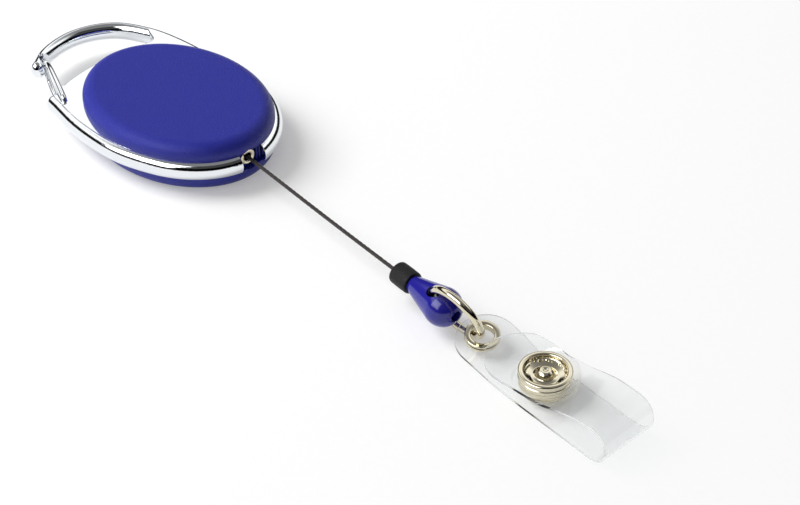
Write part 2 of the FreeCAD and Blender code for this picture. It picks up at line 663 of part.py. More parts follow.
def flap_corners():
    return [(LOOP_T, HINGE_Z + FOLD_GAP), (LOOP_T, LOOP_TOP_Z), LOOP_CREST, (SNAP_T + FLAP_FLAT, FLAP_Z),
            (SNAP_T - FLAP_FLAT - 1, FLAP_Z), (FLAP_TIP_T - 0.5, FLAP_Z - FLAP_TIP_DROP)]


def upright_hole(radius):
    return cylinder(radius, -5, 20, SNAP_T, 0)


def make_leg():
    body = ribbon(leg_corners(), [END_BEND_R, LOOP_LOWER_R])
    body = body.common(end_cutter(-TIP_REACH)).cut(upright_hole(SHANK_R + FIT_GAP))
    body = placed(body, STRAP)
    hole = placed(cylinder(GROMMET_HOLE_R + GROMMET_BARREL + PRESS_GAP, -3, 3), STRAP_END)
    return solid_of(body.cut(hole))


def make_flap():
    body = ribbon(flap_corners(), [LOOP_UPPER_R, CREST_BEND_R, FLAP_BEND_R, END_BEND_R])
    body = body.common(end_cutter(FLAP_TIP_T)).cut(upright_hole(KNOB_R))
    return solid_of(placed(body, STRAP))


def make_grommet():
    """Rolled eyelet that clamps the strap's end between two rounded flanges."""
    half = SHEET / 2
    outer = half + GROMMET_FLANGE
    hole = GROMMET_HOLE_R
    outline = [(hole, -outer + 0.3), (hole + 0.3, -outer), (GROMMET_R - 0.3, -outer), (GROMMET_R, -half - 0.25),
               (GROMMET_R, -half), (hole + GROMMET_BARREL, -half), (hole + GROMMET_BARREL, half),
               (GROMMET_R, half), (GROMMET_R, half + 0.25), (GROMMET_R - 0.3, outer), (hole + 0.3, outer),
               (hole, outer - 0.3)]
    return placed(turned(outline), STRAP_END)


# ---------------------------------------------------------------- press stud
def at_snap(shape):
    shape.translate(V(SNAP_T, 0, 0))
    return placed(shape, STRAP)


def make_stud_post():
    shank = cylinder(SHANK_R, FLOOR_GAP, LEG_TOP + STUD_BASE + SHANK_RISE)
    return at_snap(solid_of(cylinder(POST_FLANGE_R, FLOOR_GAP, LEG_BOTTOM).fuse(shank)))


def make_stud():
    base = LEG_TOP
    step = base + STUD_BASE
    top = step + KNOB_HEIGHT
    outline = [(0, base + STUD_BASE + 0.32), (SHANK_R + PRESS_GAP, base + STUD_BASE + 0.32),
               (SHANK_R + PRESS_GAP, base), (STUD_R - 0.25, base), (STUD_R, base + 0.25), (STUD_R, step - 0.25),
               (STUD_R - 0.25, step), (KNOB_NECK_R, step), (KNOB_NECK_R, step + 0.3), (KNOB_R, step + 0.6),
               (KNOB_R, top - 0.45), (KNOB_R - 0.45, top), (0, top)]
    return at_snap(turned(outline))


def make_socket():
    top = FLAP_BOTTOM
    low = top - SOCKET_HEIGHT
    spring = low + 0.35
    outline = [(SOCKET_POCKET_R, low), (SOCKET_R - 0.4, low), (SOCKET_R, low + 0.4), (SOCKET_R, top - 0.35),
               (SOCKET_R - 0.35, top), (SOCKET_POCKET_R, top), (SOCKET_POCKET_R, spring + 0.5),
               (SOCKET_POCKET_R + 0.5, spring + 0.5), (SOCKET_POCKET_R + 0.5, spring), (SOCKET_POCKET_R, spring)]
    return at_snap(turned(outline))


def make_socket_spring():
    """Open ring of wire in the socket's groove, which grips the stud's knob."""
    middle = FLAP_BOTTOM - SOCKET_HEIGHT + 0.6
    body = Part.makeTorus(SOCKET_POCKET_R + 0.22, 0.18, V(0, 0, middle), Z_AXIS)
    return at_snap(solid_of(body.cut(box(1, 4, -0.5, 0.5, 0, 9))))


def make_cap():
    """Visible half of the press stud: rolled rim, crimped ring and a dimpled nub."""
    base = FLAP_TOP
    rim = base + CAP_HEIGHT
    floor = base + CAP_FLOOR
    inner = CAP_R - CAP_RIM
    ring = 2.75
    outline = [(0, base), (CAP_R - 0.45, base), (CAP_R, base + 0.45), (CAP_R, base + 0.8),
               (CAP_R - 0.15, base + 0.95), (CAP_R, base + 1.15), (CAP_R, rim - 0.4), (CAP_R - 0.35, rim - 0.05),
               (CAP_R - 0.6, rim), (inner + 0.2, rim - 0.25), (inner, rim - 0.6), (inner, floor + 0.5),
               (inner - 0.45, floor), (ring + 0.45, floor), (ring + 0.3, floor + 0.6), (ring, floor + 0.7),
               (ring - 0.3, floor + 0.5), (ring - 0.55, floor), (NUB_R + 0.3, floor), (NUB_R, floor + 0.35),
               (NUB_R, floor + NUB_HEIGHT - 0.45), (NUB_R - 0.3, floor + NUB_HEIGHT - 0.15),
               (NUB_R - 0.65, floor + NUB_HEIGHT - 0.1), (0, floor + NUB_HEIGHT - 0.4)]
    return at_snap(turned(outline))


PIECES = {
    "back_cover": make_back_cover,
    "front_cover": make_front_cover,
    "chrome_frame": make_frame,
    "gate_wire": make_gate,
    "exit_guide": make_exit_guide,
    "cord_eyelet": make_eyelet,
    "spool_axle": make_axle,
    "spool": make_spool,
    "power_spring": make_spring,
    "spring_cover": make_spring_cover,
    "cord_wound": make_wound_cord,
    "cord_inner_run": make_inner_run,
    "cord_lead": lambda: cord_stretch(LEAD_GAP, LEAD_GAP + LEAD_LENGTH),
    "cord_run": lambda: cord_stretch(LEAD_GAP + LEAD_LENGTH, BEAD_START + KNOT_START),
    "bumper": make_bumper,
    "bead": make_bead,
    "cord_knot": make_knot,
    "jump_ring": make_ring,
    "strap_grommet": make_grommet,
    "strap_leg": make_leg,
    "stud_post": make_stud_post,
    "snap_stud": make_stud,
    "strap_flap": make_flap,
    "snap_socket": make_socket,
    "socket_spring": make_socket_spring,
    "snap_cap": make_cap,
}


def main():
    os.makedirs("parts", exist_ok=True)
    for node, make in PIECES.items():
        shape = make()
        shape.exportStep("parts/%s.step" % node)
        print("%-16s %-9s valid %s, %9.2f mm3" % (node, shape.ShapeType, shape.isValid(), shape.Volume))
    print("wound cord radius %.2f, rate %.2f rad/m" % (WOUND_R, -1000 / (WOUND_R - CORD_R)))
    print("ring middle", RING.Base, "normal", RING.Rotation.multVec(Y_AXIS))
    print("gate", gate_frame())
    print("strap", STRAP, "grommet height", GROMMET_Z)


main()
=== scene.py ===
"""Retractable badge reel: the visible pieces, their finishes, the stage and the camera.

Lengths are in millimetres until a mesh is made. Every object is in metres in the frame's own axes: the origin
is under the middle of the reel, +X runs towards the mouth of the reel and +Z is up.
"""

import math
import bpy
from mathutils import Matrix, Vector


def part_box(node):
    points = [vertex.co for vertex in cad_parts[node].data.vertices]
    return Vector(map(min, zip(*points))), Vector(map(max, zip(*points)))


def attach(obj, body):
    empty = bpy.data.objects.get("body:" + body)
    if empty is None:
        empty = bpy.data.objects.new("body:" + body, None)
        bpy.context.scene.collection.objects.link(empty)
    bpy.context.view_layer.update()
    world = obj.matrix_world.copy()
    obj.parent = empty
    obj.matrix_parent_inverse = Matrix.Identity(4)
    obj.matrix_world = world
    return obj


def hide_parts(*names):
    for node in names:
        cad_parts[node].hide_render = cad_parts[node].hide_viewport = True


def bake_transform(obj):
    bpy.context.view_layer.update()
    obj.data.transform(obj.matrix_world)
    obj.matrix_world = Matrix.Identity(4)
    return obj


bl_info = {
    "name": "Retractable Badge Reel",
    "version": (1, 0, 0),
    "blender": (4, 5, 0),
    "location": "View3D > Sidebar > Badge Reel",
    "description": "Builds the pieces of a retractable badge reel round its packed frame",
    "category": "Add Mesh",
}

import bmesh
import bpy
import numpy as np
from bpy.props import FloatProperty, FloatVectorProperty, IntProperty, PointerProperty
from mathutils import Matrix, Vector

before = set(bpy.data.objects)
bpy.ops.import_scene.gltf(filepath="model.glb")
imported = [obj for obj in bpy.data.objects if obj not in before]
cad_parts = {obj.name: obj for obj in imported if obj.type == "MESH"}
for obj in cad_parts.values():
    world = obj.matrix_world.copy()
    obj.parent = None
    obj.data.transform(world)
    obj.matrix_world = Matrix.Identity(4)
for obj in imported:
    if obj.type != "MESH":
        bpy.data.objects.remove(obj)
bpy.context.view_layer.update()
MM = 0.001
UP = Vector((0, 0, 1))
SLIVER = 1e-5                                # edges shorter than this are dropped from a mesh


# ---------------------------------------------------------------- places in the frame, mm and degrees
MOUTH = Vector((23.8, 0.0, 5.7))             # where the cord leaves the eyelet
PULL_YAW = -4.5                              # direction of the cord
CORD_WAY = Vector((math.cos(math.radians(PULL_YAW)), math.sin(math.radians(PULL_YAW)), 0))
FREE_CORD = 57.8                             # from the mouth to the knot
BUMPER_START = 50.1                          # this and the next two are along the cord from the mouth
BEAD_START = 54.7
KNOT_START = BEAD_START + 3.1
GATE_PIVOT = Vector((-18.8, -17.2, 5.7))
GATE_YAW = 159.183
RING_MIDDLE = Vector((91.0054, -5.1754, 6.6456))
RING_NORMAL = Vector((0.01640, 0.93955, 0.34202))
RING_UP = Vector((-0.00597, -0.34197, 0.93969))
STRAP_PLACE = Vector((96.1247, -3.4327, 0.0))  # under the middle of the grommet
STRAP_YAW = -3.0
GROMMET_Z = 2.9
GROMMET_SLOPE = 7.0
SNAP_T = 16.5                                # the press stud, along the strap from the grommet
FLAP_Z = 3.75                                # middle of the flap's sheet at the press stud
ROLL_END = 13.0                              # along the strap, where its roll has faded out
ROLL_FADE = 11.0                             # length over which the roll fades
FLAT_RADIUS = 5.0                            # the flap is pressed flat under the cap
FLAT_FADE = 1.6                              # and takes its own shape again over this length


# ---------------------------------------------------------------- small helpers
def hex_linear(code):
    """Linear colour of an sRGB hex value such as 2b2f9a."""
    values = [int(code[i:i + 2], 16) / 255 for i in (0, 2, 4)]
    linear = [v / 12.92 if v <= 0.04045 else ((v + 0.055) / 1.055) ** 2.4 for v in values]
    return (*linear, 1.0)


def add_node(tree, kind, inputs=None, **settings):
    """Adds a node with its settings; an input's value is a plain value or the output that feeds it."""
    made = tree.nodes.new(kind)
    for name, value in settings.items():
        setattr(made, name, value)
    for key, value in (inputs or {}).items():
        if isinstance(value, bpy.types.NodeSocket):
            tree.links.new(value, made.inputs[key])
        else:
            made.inputs[key].default_value = value
    return made


def start_material(name):
    """New material and its empty node tree."""
    material = bpy.data.materials.new(name)
    material.use_nodes = True
    material.node_tree.nodes.clear()
    return material, material.node_tree


def placement(origin, x_axis, y_axis, z_axis):
    """Matrix of a local frame from its origin and axes."""
    rows = [[x_axis[i], y_axis[i], z_axis[i], origin[i]] for i in range(3)]
    return Matrix(rows + [[0, 0, 0, 1]])


def level_frame(origin, yaw):
    """Level local frame at an origin, turned about Z by degrees."""
    return Matrix.Translation(origin) @ Matrix.Rotation(math.radians(yaw), 4, "Z")


def cord_frame(distance):
    """Local frame on the cord at a distance from the mouth, with Z along the cord."""
    side = UP.cross(CORD_WAY)
    return placement(MOUTH + CORD_WAY * distance, side, CORD_WAY.cross(side), CORD_WAY)


STRAP = level_frame(STRAP_PLACE, STRAP_YAW)
SNAP = STRAP @ Matrix.Translation((SNAP_T, 0, 0))
MOUTH_FRAME = placement(MOUTH, Vector((0, 1, 0)), UP, Vector((1, 0, 0)))


def link_object(name, data):
    """Object at the origin for its data, in the scene."""
    made = bpy.data.objects.new(name, data)
    bpy.context.scene.collection.objects.link(made)
    return made


def face_outwards(mesh, merge=None):
    """Turns a mesh's faces outwards; with a merging distance, joins doubles and drops slivers first."""
    work = bmesh.new()
    work.from_mesh(mesh)
    if merge:
        bmesh.ops.remove_doubles(work, verts=work.verts, dist=merge)
        bmesh.ops.dissolve_degenerate(work, edges=work.edges, dist=SLIVER)
    bmesh.ops.recalc_face_normals(work, faces=work.faces)
    work.to_mesh(mesh)
    work.free()


def smooth_to(mesh, angle):
    """Smooth shading that breaks at edges sharper than an angle in degrees."""
    mesh.shade_smooth()
    mesh.set_sharp_from_angle(angle=math.radians(angle))


def new_object(name, vertices, faces, place=None, smooth_angle=40):
    """Closed mesh object from millimetre vertices, with its place in its mesh."""
    mesh = bpy.data.meshes.new(name)
    mesh.from_pydata([tuple(v) for v in vertices], [], faces)
    face_outwards(mesh, merge=SLIVER)
    mesh.transform(Matrix.Scale(MM, 4) @ (place or Matrix.Identity(4)))
    smooth_to(mesh, smooth_angle)
    return link_object(name, mesh)


def soften(corners, closed=False, steps=6):
    """Outline through (x, y, radius) corners with each corner rounded to its radius."""
    straight = 0.02                          # radians: a smaller turn needs no rounding
    share = 0.48                             # of the shorter run that a rounding may take
    points = []
    count = len(corners)
    for i, (x, y, radius) in enumerate(corners):
        here = Vector((x, y))
        if radius <= 0 or (not closed and i in (0, count - 1)):
            points.append(here)
            continue
        before = Vector(corners[i - 1][:2])
        after = Vector(corners[(i + 1) % count][:2])
        incoming = (here - before).normalized()
        outgoing = (after - here).normalized()
        turn = incoming.angle(outgoing)
        if turn < straight:
            points.append(here)
            continue
        room = share * min((here - before).length, (after - here).length)
        reach = min(radius * math.tan(turn / 2), room)
        first = here - incoming * reach
        last = here + outgoing * reach
        for k in range(steps + 1):
            u = k / steps
            points.append(first * (1 - u) ** 2 + here * 2 * u * (1 - u) + last * u ** 2)
    return points


def turned(name, corners, place, closed=False, around=96, smooth_angle=40):
    """Closed piece turned about its local Z from (radius, height, rounding) corners."""
    outline = soften(corners, closed)
    vertices, faces = [], []
    for k in range(around):
        angle = 2 * math.pi * k / around
        vertices += [(p.x * math.cos(angle), p.x * math.sin(angle), p.y) for p in outline]
    size = len(outline)
    last = size if closed else size - 1
    for k in range(around):
        a, b = k * size, (k + 1) % around * size
        for i in range(last):
            j = (i + 1) % size
            faces.append((a + i, b + i, b + j, a + j))
    return new_object(name, vertices, faces, place, smooth_angle)


def bent_wire(corners, radii, steps=10):
    """Points of straight runs joined by arcs, one radius for each inner corner."""
    corners = [Vector(c) for c in corners]
    points = [corners[0]]
    for before, here, after, radius in zip(corners, corners[1:], corners[2:], radii):
        incoming = (here - before).normalized()
        outgoing = (after - here).normalized()
        turn = incoming.angle(outgoing)
        reach = radius * math.tan(turn / 2)
        centre = here + (outgoing - incoming).normalized() * radius / math.cos(turn / 2)
        first = here - incoming * reach - centre
        axis = incoming.cross(outgoing)
        for k in range(steps + 1):
            points.append(centre + Matrix.Rotation(turn * k / steps, 3, axis) @ first)
    points.append(corners[-1])
    return points


def distances(points):
    """Distance of each flat point from the first, along the line through them all."""
    steps = np.diff(np.asarray(points, float), axis=0)
    return np.concatenate([[0], np.cumsum(np.hypot(*steps.T))])


def natural_spline(knots, values, wanted):
    """Natural cubic spline through the values at the knots, read at the wanted places."""
    knots, values = np.asarray(knots, float), np.asarray(values, float)
    count = len(knots)
    step = np.diff(knots)
    matrix = np.eye(count)
    right = np.zeros((count, values.shape[1]))
    for i in range(1, count - 1):
        matrix[i, i - 1:i + 2] = step[i - 1], 2 * (step[i - 1] + step[i]), step[i]
        right[i] = 6 * ((values[i + 1] - values[i]) / step[i] - (values[i] - values[i - 1]) / step[i - 1])
    bend = np.linalg.solve(matrix, right)
    index = np.clip(np.searchsorted(knots, wanted) - 1, 0, count - 2)
    h = step[index][:, None]
    a = (knots[index + 1] - wanted)[:, None] / h
    b = 1 - a
    return (a * values[index] + b * values[index + 1]
            + ((a ** 3 - a) * bend[index] + (b ** 3 - b) * bend[index + 1]) * h ** 2 / 6)


def ease(share):
    """Smooth step from 0 to 1."""
    share = np.clip(share, 0, 1)
    return share * share * (3 - 2 * share)


def input_identifier(tree, name):
    """Identifier of a group's input socket, which its modifier's values go by."""
    for item in tree.interface.items_tree:
        if item.item_type == "SOCKET" and item.in_out == "INPUT" and item.name == name:
            return item.identifier
    raise KeyError(name)


def set_inputs(modifier, **values):
    """Sets the named inputs of a Geometry Nodes modifier, a name's spaces written as underscores."""
    for name, value in values.items():
        modifier[input_identifier(modifier.node_group, name.replace("_", " "))] = value


def start_group(name, sockets):
    """Geometry Nodes group with a Geometry input and output and the named inputs."""
    tree = bpy.data.node_groups.new(name, "GeometryNodeTree")
    tree.interface.new_socket("Geometry", in_out="OUTPUT", socket_type="NodeSocketGeometry")
    tree.interface.new_socket("Geometry", in_out="INPUT", socket_type="NodeSocketGeometry")
    for label, kind, default in sockets:
        socket = tree.interface.new_socket(label, in_out="INPUT", socket_type=kind)
        if default is not None:
            socket.default_value = default
    return tree, add_node(tree, "NodeGroupInput")


def bake_modifiers(piece):
    """Turns the result of a piece's modifiers into its plain mesh."""
    depsgraph = bpy.context.evaluated_depsgraph_get()
    depsgraph.update()
    result = bpy.data.meshes.new_from_object(piece.evaluated_get(depsgraph))
    piece.modifiers.clear()
    piece.data = result
    return piece


def set_material(piece, material):
    """Gives a new piece its one finish."""
    piece.data.materials.clear()
    piece.data.materials.append(material)
    return piece


def finish_node(name, material):
    """Gives one of the frame's own nodes its finish."""
    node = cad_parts[name]
    for slot in node.material_slots:
        slot.material = material
    if not node.material_slots:
        node.data.materials.append(material)
    return node


# ---------------------------------------------------------------- materials
def object_coordinates(tree, millimetres):
    """Object coordinates scaled so that one pattern unit is the given size."""
    source = add_node(tree, "ShaderNodeTexCoord").outputs["Object"]
    scale = 1 / (millimetres * MM)
    mapping = add_node(tree, "ShaderNodeMapping", {"Vector": source, "Scale": (scale, scale, scale)})
    return mapping.outputs["Vector"]


def scaled(colour, *factors):
    """Colour times one factor, or one for each channel, and no brighter than white."""
    if len(factors) == 1:
        factors = factors * 3
    return (*(min(c * f, 1.0) for c, f in zip(colour, factors)), 1.0)


def moulded_abs(colour):
    """ABS moulded in a spark-eroded tool: a fine even grain that scatters the highlight into a soft sheen.
    The real grain is about 0.12 mm, drawn at 0.34 mm because a finer one would not show."""
    material, tree = start_material("moulded_abs_spark_grain")
    grain = add_node(tree, "ShaderNodeTexNoise", {"Vector": object_coordinates(tree, 0.34), "Scale": 1.0,
                                                  "Detail": 2.0, "Roughness": 0.6})
    bump = add_node(tree, "ShaderNodeBump", {"Height": grain.outputs["Fac"], "Strength": 1.0,
                                             "Distance": 0.14 * MM})
    cloud = add_node(tree, "ShaderNodeTexNoise", {"Vector": object_coordinates(tree, 0.45), "Scale": 1.0,
                                                  "Detail": 3.0})
    body = add_node(tree, "ShaderNodeMix", {0: cloud.outputs["Fac"], 6: scaled(colour, 0.8),
                                            7: scaled(colour, 1.2)}, data_type="RGBA")
    rough = add_node(tree, "ShaderNodeMapRange", {"Value": grain.outputs["Fac"], "To Min": 0.36,
                                                  "To Max": 0.52})
    shader = add_node(tree, "ShaderNodeBsdfPrincipled", {
        "Base Color": body.outputs[2], "Roughness": rough.outputs[0], "IOR": 1.53,
        "Specular IOR Level": 0.42, "Normal": bump.outputs[0]})
    add_node(tree, "ShaderNodeOutputMaterial", {"Surface": shader.outputs[0]})
    return material


def polished_abs(colour):
    """ABS moulded in a polished tool: a glossy skin with the faint waviness of cooling, about 2 mm across,
    over a colour that drifts a little over 5 mm."""
    material, tree = start_material("moulded_abs_polished")
    wave = add_node(tree, "ShaderNodeTexNoise", {"Vector": object_coordinates(tree, 2.2), "Scale": 1.0,
                                                 "Detail": 1.0})
    bump = add_node(tree, "ShaderNodeBump", {"Height": wave.outputs["Fac"], "Strength": 0.25,
                                             "Distance": 0.03 * MM})
    cloud = add_node(tree, "ShaderNodeTexNoise", {"Vector": object_coordinates(tree, 5.0), "Scale": 1.0,
                                                  "Detail": 2.0})
    body = add_node(tree, "ShaderNodeMix", {0: cloud.outputs["Fac"], 6: colour,
                                            7: scaled(colour, 0.82, 1.1, 1.02)}, data_type="RGBA")
    shader = add_node(tree, "ShaderNodeBsdfPrincipled", {
        "Base Color": body.outputs[2], "Roughness": 0.13, "IOR": 1.53, "Normal": bump.outputs[0]})
    add_node(tree, "ShaderNodeOutputMaterial", {"Surface": shader.outputs[0]})
    return material


def bright_chrome(colour):
    """Decorative chrome plating over a polished casting: mirror bright, with a slight unevenness about 3 mm
    long from the casting and a haze of handling marks about 0.4 mm across."""
    material, tree = start_material("bright_chrome_plating")
    swell = add_node(tree, "ShaderNodeTexNoise", {"Vector": object_coordinates(tree, 3.0), "Scale": 1.0,
                                                  "Detail": 1.0})
    bump = add_node(tree, "ShaderNodeBump", {"Height": swell.outputs["Fac"], "Strength": 0.3,
                                             "Distance": 0.03 * MM})
    haze = add_node(tree, "ShaderNodeTexNoise", {"Vector": object_coordinates(tree, 0.4), "Scale": 1.0,
                                                 "Detail": 4.0})
    rough = add_node(tree, "ShaderNodeMapRange", {"Value": haze.outputs["Fac"], "From Min": 0.35,
                                                  "From Max": 0.75, "To Min": 0.035, "To Max": 0.09})
    shader = add_node(tree, "ShaderNodeBsdfPrincipled", {
        "Base Color": colour, "Metallic": 1.0, "Roughness": rough.outputs[0], "Normal": bump.outputs[0]})
    add_node(tree, "ShaderNodeOutputMaterial", {"Surface": shader.outputs[0]})
    return material


def barrel_nickel(colour):
    """Barrel-plated nickel on stamped brass: warmer and softer than chrome, a little duller in patches 1.4 mm
    across, with fine tumbling marks 0.25 mm long."""
    material, tree = start_material("barrel_plated_nickel")
    marks = add_node(tree, "ShaderNodeTexNoise", {"Vector": object_coordinates(tree, 0.25), "Scale": 1.0,
                                                  "Detail": 5.0, "Roughness": 0.65})
    bump = add_node(tree, "ShaderNodeBump", {"Height": marks.outputs["Fac"], "Strength": 0.12,
                                             "Distance": 0.01 * MM})
    patch = add_node(tree, "ShaderNodeTexNoise", {"Vector": object_coordinates(tree, 1.4), "Scale": 1.0,
                                                  "Detail": 3.0})
    body = add_node(tree, "ShaderNodeMix", {0: patch.outputs["Fac"], 6: colour, 7: scaled(colour, 0.86)},
                    data_type="RGBA")
    rough = add_node(tree, "ShaderNodeMapRange", {"Value": marks.outputs["Fac"], "From Min": 0.3,
                                                  "From Max": 0.7, "To Min": 0.06, "To Max": 0.12})
    shader = add_node(tree, "ShaderNodeBsdfPrincipled", {
        "Base Color": body.outputs[2], "Metallic": 1.0, "Roughness": rough.outputs[0],
        "Normal": bump.outputs[0]})
    add_node(tree, "ShaderNodeOutputMaterial", {"Surface": shader.outputs[0]})
    return material


def rolled_steel(colour):
    """Rolled spring steel: grey metal whose gloss varies with the fine marks of rolling, 0.15 mm across."""
    material, tree = start_material("rolled_spring_steel")
    marks = add_node(tree, "ShaderNodeTexNoise", {"Vector": object_coordinates(tree, 0.15), "Scale": 1.0,
                                                  "Detail": 3.0})
    rough = add_node(tree, "ShaderNodeMapRange", {"Value": marks.outputs["Fac"], "To Min": 0.22,
                                                  "To Max": 0.42})
    shader = add_node(tree, "ShaderNodeBsdfPrincipled", {
        "Base Color": colour, "Metallic": 1.0, "Roughness": rough.outputs[0]})
    add_node(tree, "ShaderNodeOutputMaterial", {"Surface": shader.outputs[0]})
    return material


def natural_acetal(colour):
    """Acetal in its natural white: waxy, with a faint cloudiness 2 mm across."""
    material, tree = start_material("natural_acetal")
    cloud = add_node(tree, "ShaderNodeTexNoise", {"Vector": object_coordinates(tree, 2.0), "Scale": 1.0})
    body = add_node(tree, "ShaderNodeMix", {0: cloud.outputs["Fac"], 6: colour, 7: scaled(colour, 0.92)},
                    data_type="RGBA")
    shader = add_node(tree, "ShaderNodeBsdfPrincipled", {
        "Base Color": body.outputs[2], "Roughness": 0.36, "IOR": 1.48})
    add_node(tree, "ShaderNodeOutputMaterial", {"Surface": shader.outputs[0]})
    return material


def braided_polyester(colour):
    """Braided polyester whose colour carries painted light: a painted highlight on the crowns of the strands,
    and painted shade where they pass under.
    The strand's height comes with the mesh, and fibres 0.05 mm thick are drawn at 0.12 mm."""
    material, tree = start_material("braided_polyester")
    height = add_node(tree, "ShaderNodeAttribute", attribute_name="strand_height").outputs["Fac"]
    fibre = add_node(tree, "ShaderNodeTexNoise", {"Vector": object_coordinates(tree, 0.12), "Scale": 1.0,
                                                  "Detail": 2.0})
    # Painted light: strand height times fibre noise lifts the colour up to ninefold on the crowns (painted
    # highlight) and leaves the grooves dark (painted shade).
    painted_crown_light = add_node(tree, "ShaderNodeMath", {0: height, 1: fibre.outputs["Fac"]}, operation="MULTIPLY")
    body = add_node(tree, "ShaderNodeMix", {0: painted_crown_light.outputs[0], 6: colour, 7: scaled(colour, 9.0)},
                    data_type="RGBA")
    shader = add_node(tree, "ShaderNodeBsdfPrincipled", {
        "Base Color": body.outputs[2], "Roughness": 0.62, "Sheen Weight": 0.25, "Sheen Roughness": 0.4})
    add_node(tree, "ShaderNodeOutputMaterial", {"Surface": shader.outputs[0]})
    return material


def nitrile_rubber(colour):
    """Extruded nitrile rubber, cut to length: dull black with a dusty, slightly pitted skin, the pits about
    0.3 mm across."""
    material, tree = start_material("extruded_nitrile_rubber")
    pits = add_node(tree, "ShaderNodeTexNoise", {"Vector": object_coordinates(tree, 0.3), "Scale": 1.0,
                                                 "Detail": 3.0})
    bump = add_node(tree, "ShaderNodeBump", {"Height": pits.outputs["Fac"], "Strength": 0.6,
                                             "Distance": 0.06 * MM})
    dusty = add_node(tree, "ShaderNodeMapRange", {"Value": pits.outputs["Fac"], "From Min": 0.45,
                                                  "From Max": 0.75})
    body = add_node(tree, "ShaderNodeMix", {0: dusty.outputs[0], 6: colour, 7: scaled(colour, 5.0)},
                    data_type="RGBA")
    shader = add_node(tree, "ShaderNodeBsdfPrincipled", {
        "Base Color": body.outputs[2], "Roughness": 0.6, "IOR": 1.52, "Specular IOR Level": 0.35,
        "Normal": bump.outputs[0]})
    add_node(tree, "ShaderNodeOutputMaterial", {"Surface": shader.outputs[0]})
    return material


def clear_pvc(colour):
    """Plasticised PVC sheet, calendered clear: an almost colourless body and a wet gloss, slightly uneven
    over 4 mm. Shadow and diffuse rays go straight through it, and so does a ray that has met several
    surfaces, because its bent path would otherwise end in black."""
    material, tree = start_material("calendered_clear_pvc")
    uneven = add_node(tree, "ShaderNodeTexNoise", {"Vector": object_coordinates(tree, 4.0), "Scale": 1.0,
                                                   "Detail": 2.0})
    bump = add_node(tree, "ShaderNodeBump", {"Height": uneven.outputs["Fac"], "Strength": 0.35,
                                             "Distance": 0.1 * MM})
    shader = add_node(tree, "ShaderNodeBsdfPrincipled", {
        "Base Color": colour, "Roughness": 0.03, "IOR": 1.5, "Transmission Weight": 1.0,
        "Normal": bump.outputs[0]})
    path = add_node(tree, "ShaderNodeLightPath")
    plain = add_node(tree, "ShaderNodeMath", {0: path.outputs["Is Shadow Ray"],
                                              1: path.outputs["Is Diffuse Ray"]}, operation="MAXIMUM")
    # The surfaces met so far; a shadow or diffuse ray counts as having met none.
    turns = add_node(tree, "ShaderNodeMath", {0: plain.outputs[0], 1: -100.0, 2: path.outputs["Ray Depth"]},
                     operation="MULTIPLY_ADD")
    deep = add_node(tree, "ShaderNodeMath", {0: turns.outputs[0], 1: 4.5}, operation="GREATER_THAN")
    dimmed = add_node(tree, "ShaderNodeMix", {0: deep.outputs[0], 6: (0.975, 0.979, 0.981, 1.0),
                                              7: (0.93, 0.936, 0.94, 1.0)}, data_type="RGBA")
    through = add_node(tree, "ShaderNodeBsdfTransparent", {"Color": dimmed.outputs[2]})
    passes = add_node(tree, "ShaderNodeMath", {0: plain.outputs[0], 1: deep.outputs[0]},
                      operation="MAXIMUM")
    both = add_node(tree, "ShaderNodeMixShader", {0: passes.outputs[0], 1: shader.outputs[0],
                                                  2: through.outputs[0]})
    add_node(tree, "ShaderNodeOutputMaterial", {"Surface": both.outputs[0]})
    return material


MATERIALS = {}


def finish_named(name):
    """The named finish, made once from the colours in the sidebar."""
    makers = {"cover_plastic": moulded_abs, "bead_plastic": polished_abs, "frame_chrome": bright_chrome,
              "nickel": barrel_nickel, "steel": rolled_steel, "spool_plastic": natural_acetal,
              "cord_braid": braided_polyester, "bumper_rubber": nitrile_rubber, "clear_vinyl": clear_pvc}
    if name not in MATERIALS:
        colour = tuple(getattr(bpy.context.scene.badge_reel_colours, name))
        MATERIALS[name] = makers[name](colour)
    return MATERIALS[name]


# ---------------------------------------------------------------- sizes and colours in the sidebar
def length(name, description, millimetres):
    """Length in the sidebar, its default given in millimetres."""
    return FloatProperty(name=name, description=description, default=millimetres * MM, min=0.0,
                         unit="LENGTH", precision=4)


def tint(name, description, code):
    """Colour in the sidebar, its default given as an sRGB hex value."""
    return FloatVectorProperty(name=name, description=description, default=hex_linear(code), size=4,
                               min=0.0, max=1.0, subtype="COLOR")


class BadgeReelSizes(bpy.types.PropertyGroup):
    gate_wire: length("Gate Wire", "Diameter of the gate's wire", 1.25)
    gate_length: length("Gate Length", "From the gate's pivot to its closed end", 20.541)
    gate_leg: length("Gate Leg", "Height of each leg's middle from the frame's middle", 2.895)
    gate_bow: length("Gate Bow", "How far each leg bows away from the frame", 0.75)
    guide_slot: length("Guide Slot", "Width of the slot beside the eyelet", 0.45)
    eyelet_radius: length("Eyelet Radius", "Outer radius of the rolled eyelet at the mouth", 1.9)
    eyelet_bore: length("Eyelet Bore", "Radius of the eyelet's bore", 0.95)


class BadgeReelCordSizes(bpy.types.PropertyGroup):
    diameter: length("Cord Diameter", "Diameter of the braided cord", 0.83)
    pitch: length("Braid Pitch", "Length of one crossing of the braid", 1.3)
    relief: length("Braid Relief", "Depth of the grooves between strands", 0.08)
    strands: IntProperty(name="Strands", description="Strands that run each way round the cord", default=4,
                         min=2, max=12)
    bumper_radius: length("Bumper Radius", "Outer radius of the rubber bumper", 2.35)
    bumper_length: length("Bumper Length", "Length of the rubber bumper", 4.6)
    bead_length: length("Bead Length", "Length of the drop-shaped bead", 12.8)
    bead_radius: length("Bead Radius", "Radius of the bead's ball", 3.95)
    bead_neck: length("Bead Neck", "Radius of the bead's narrow end", 1.75)
    bead_passage: length("Ring Passage", "Radius of the hole that the ring passes through", 1.35)


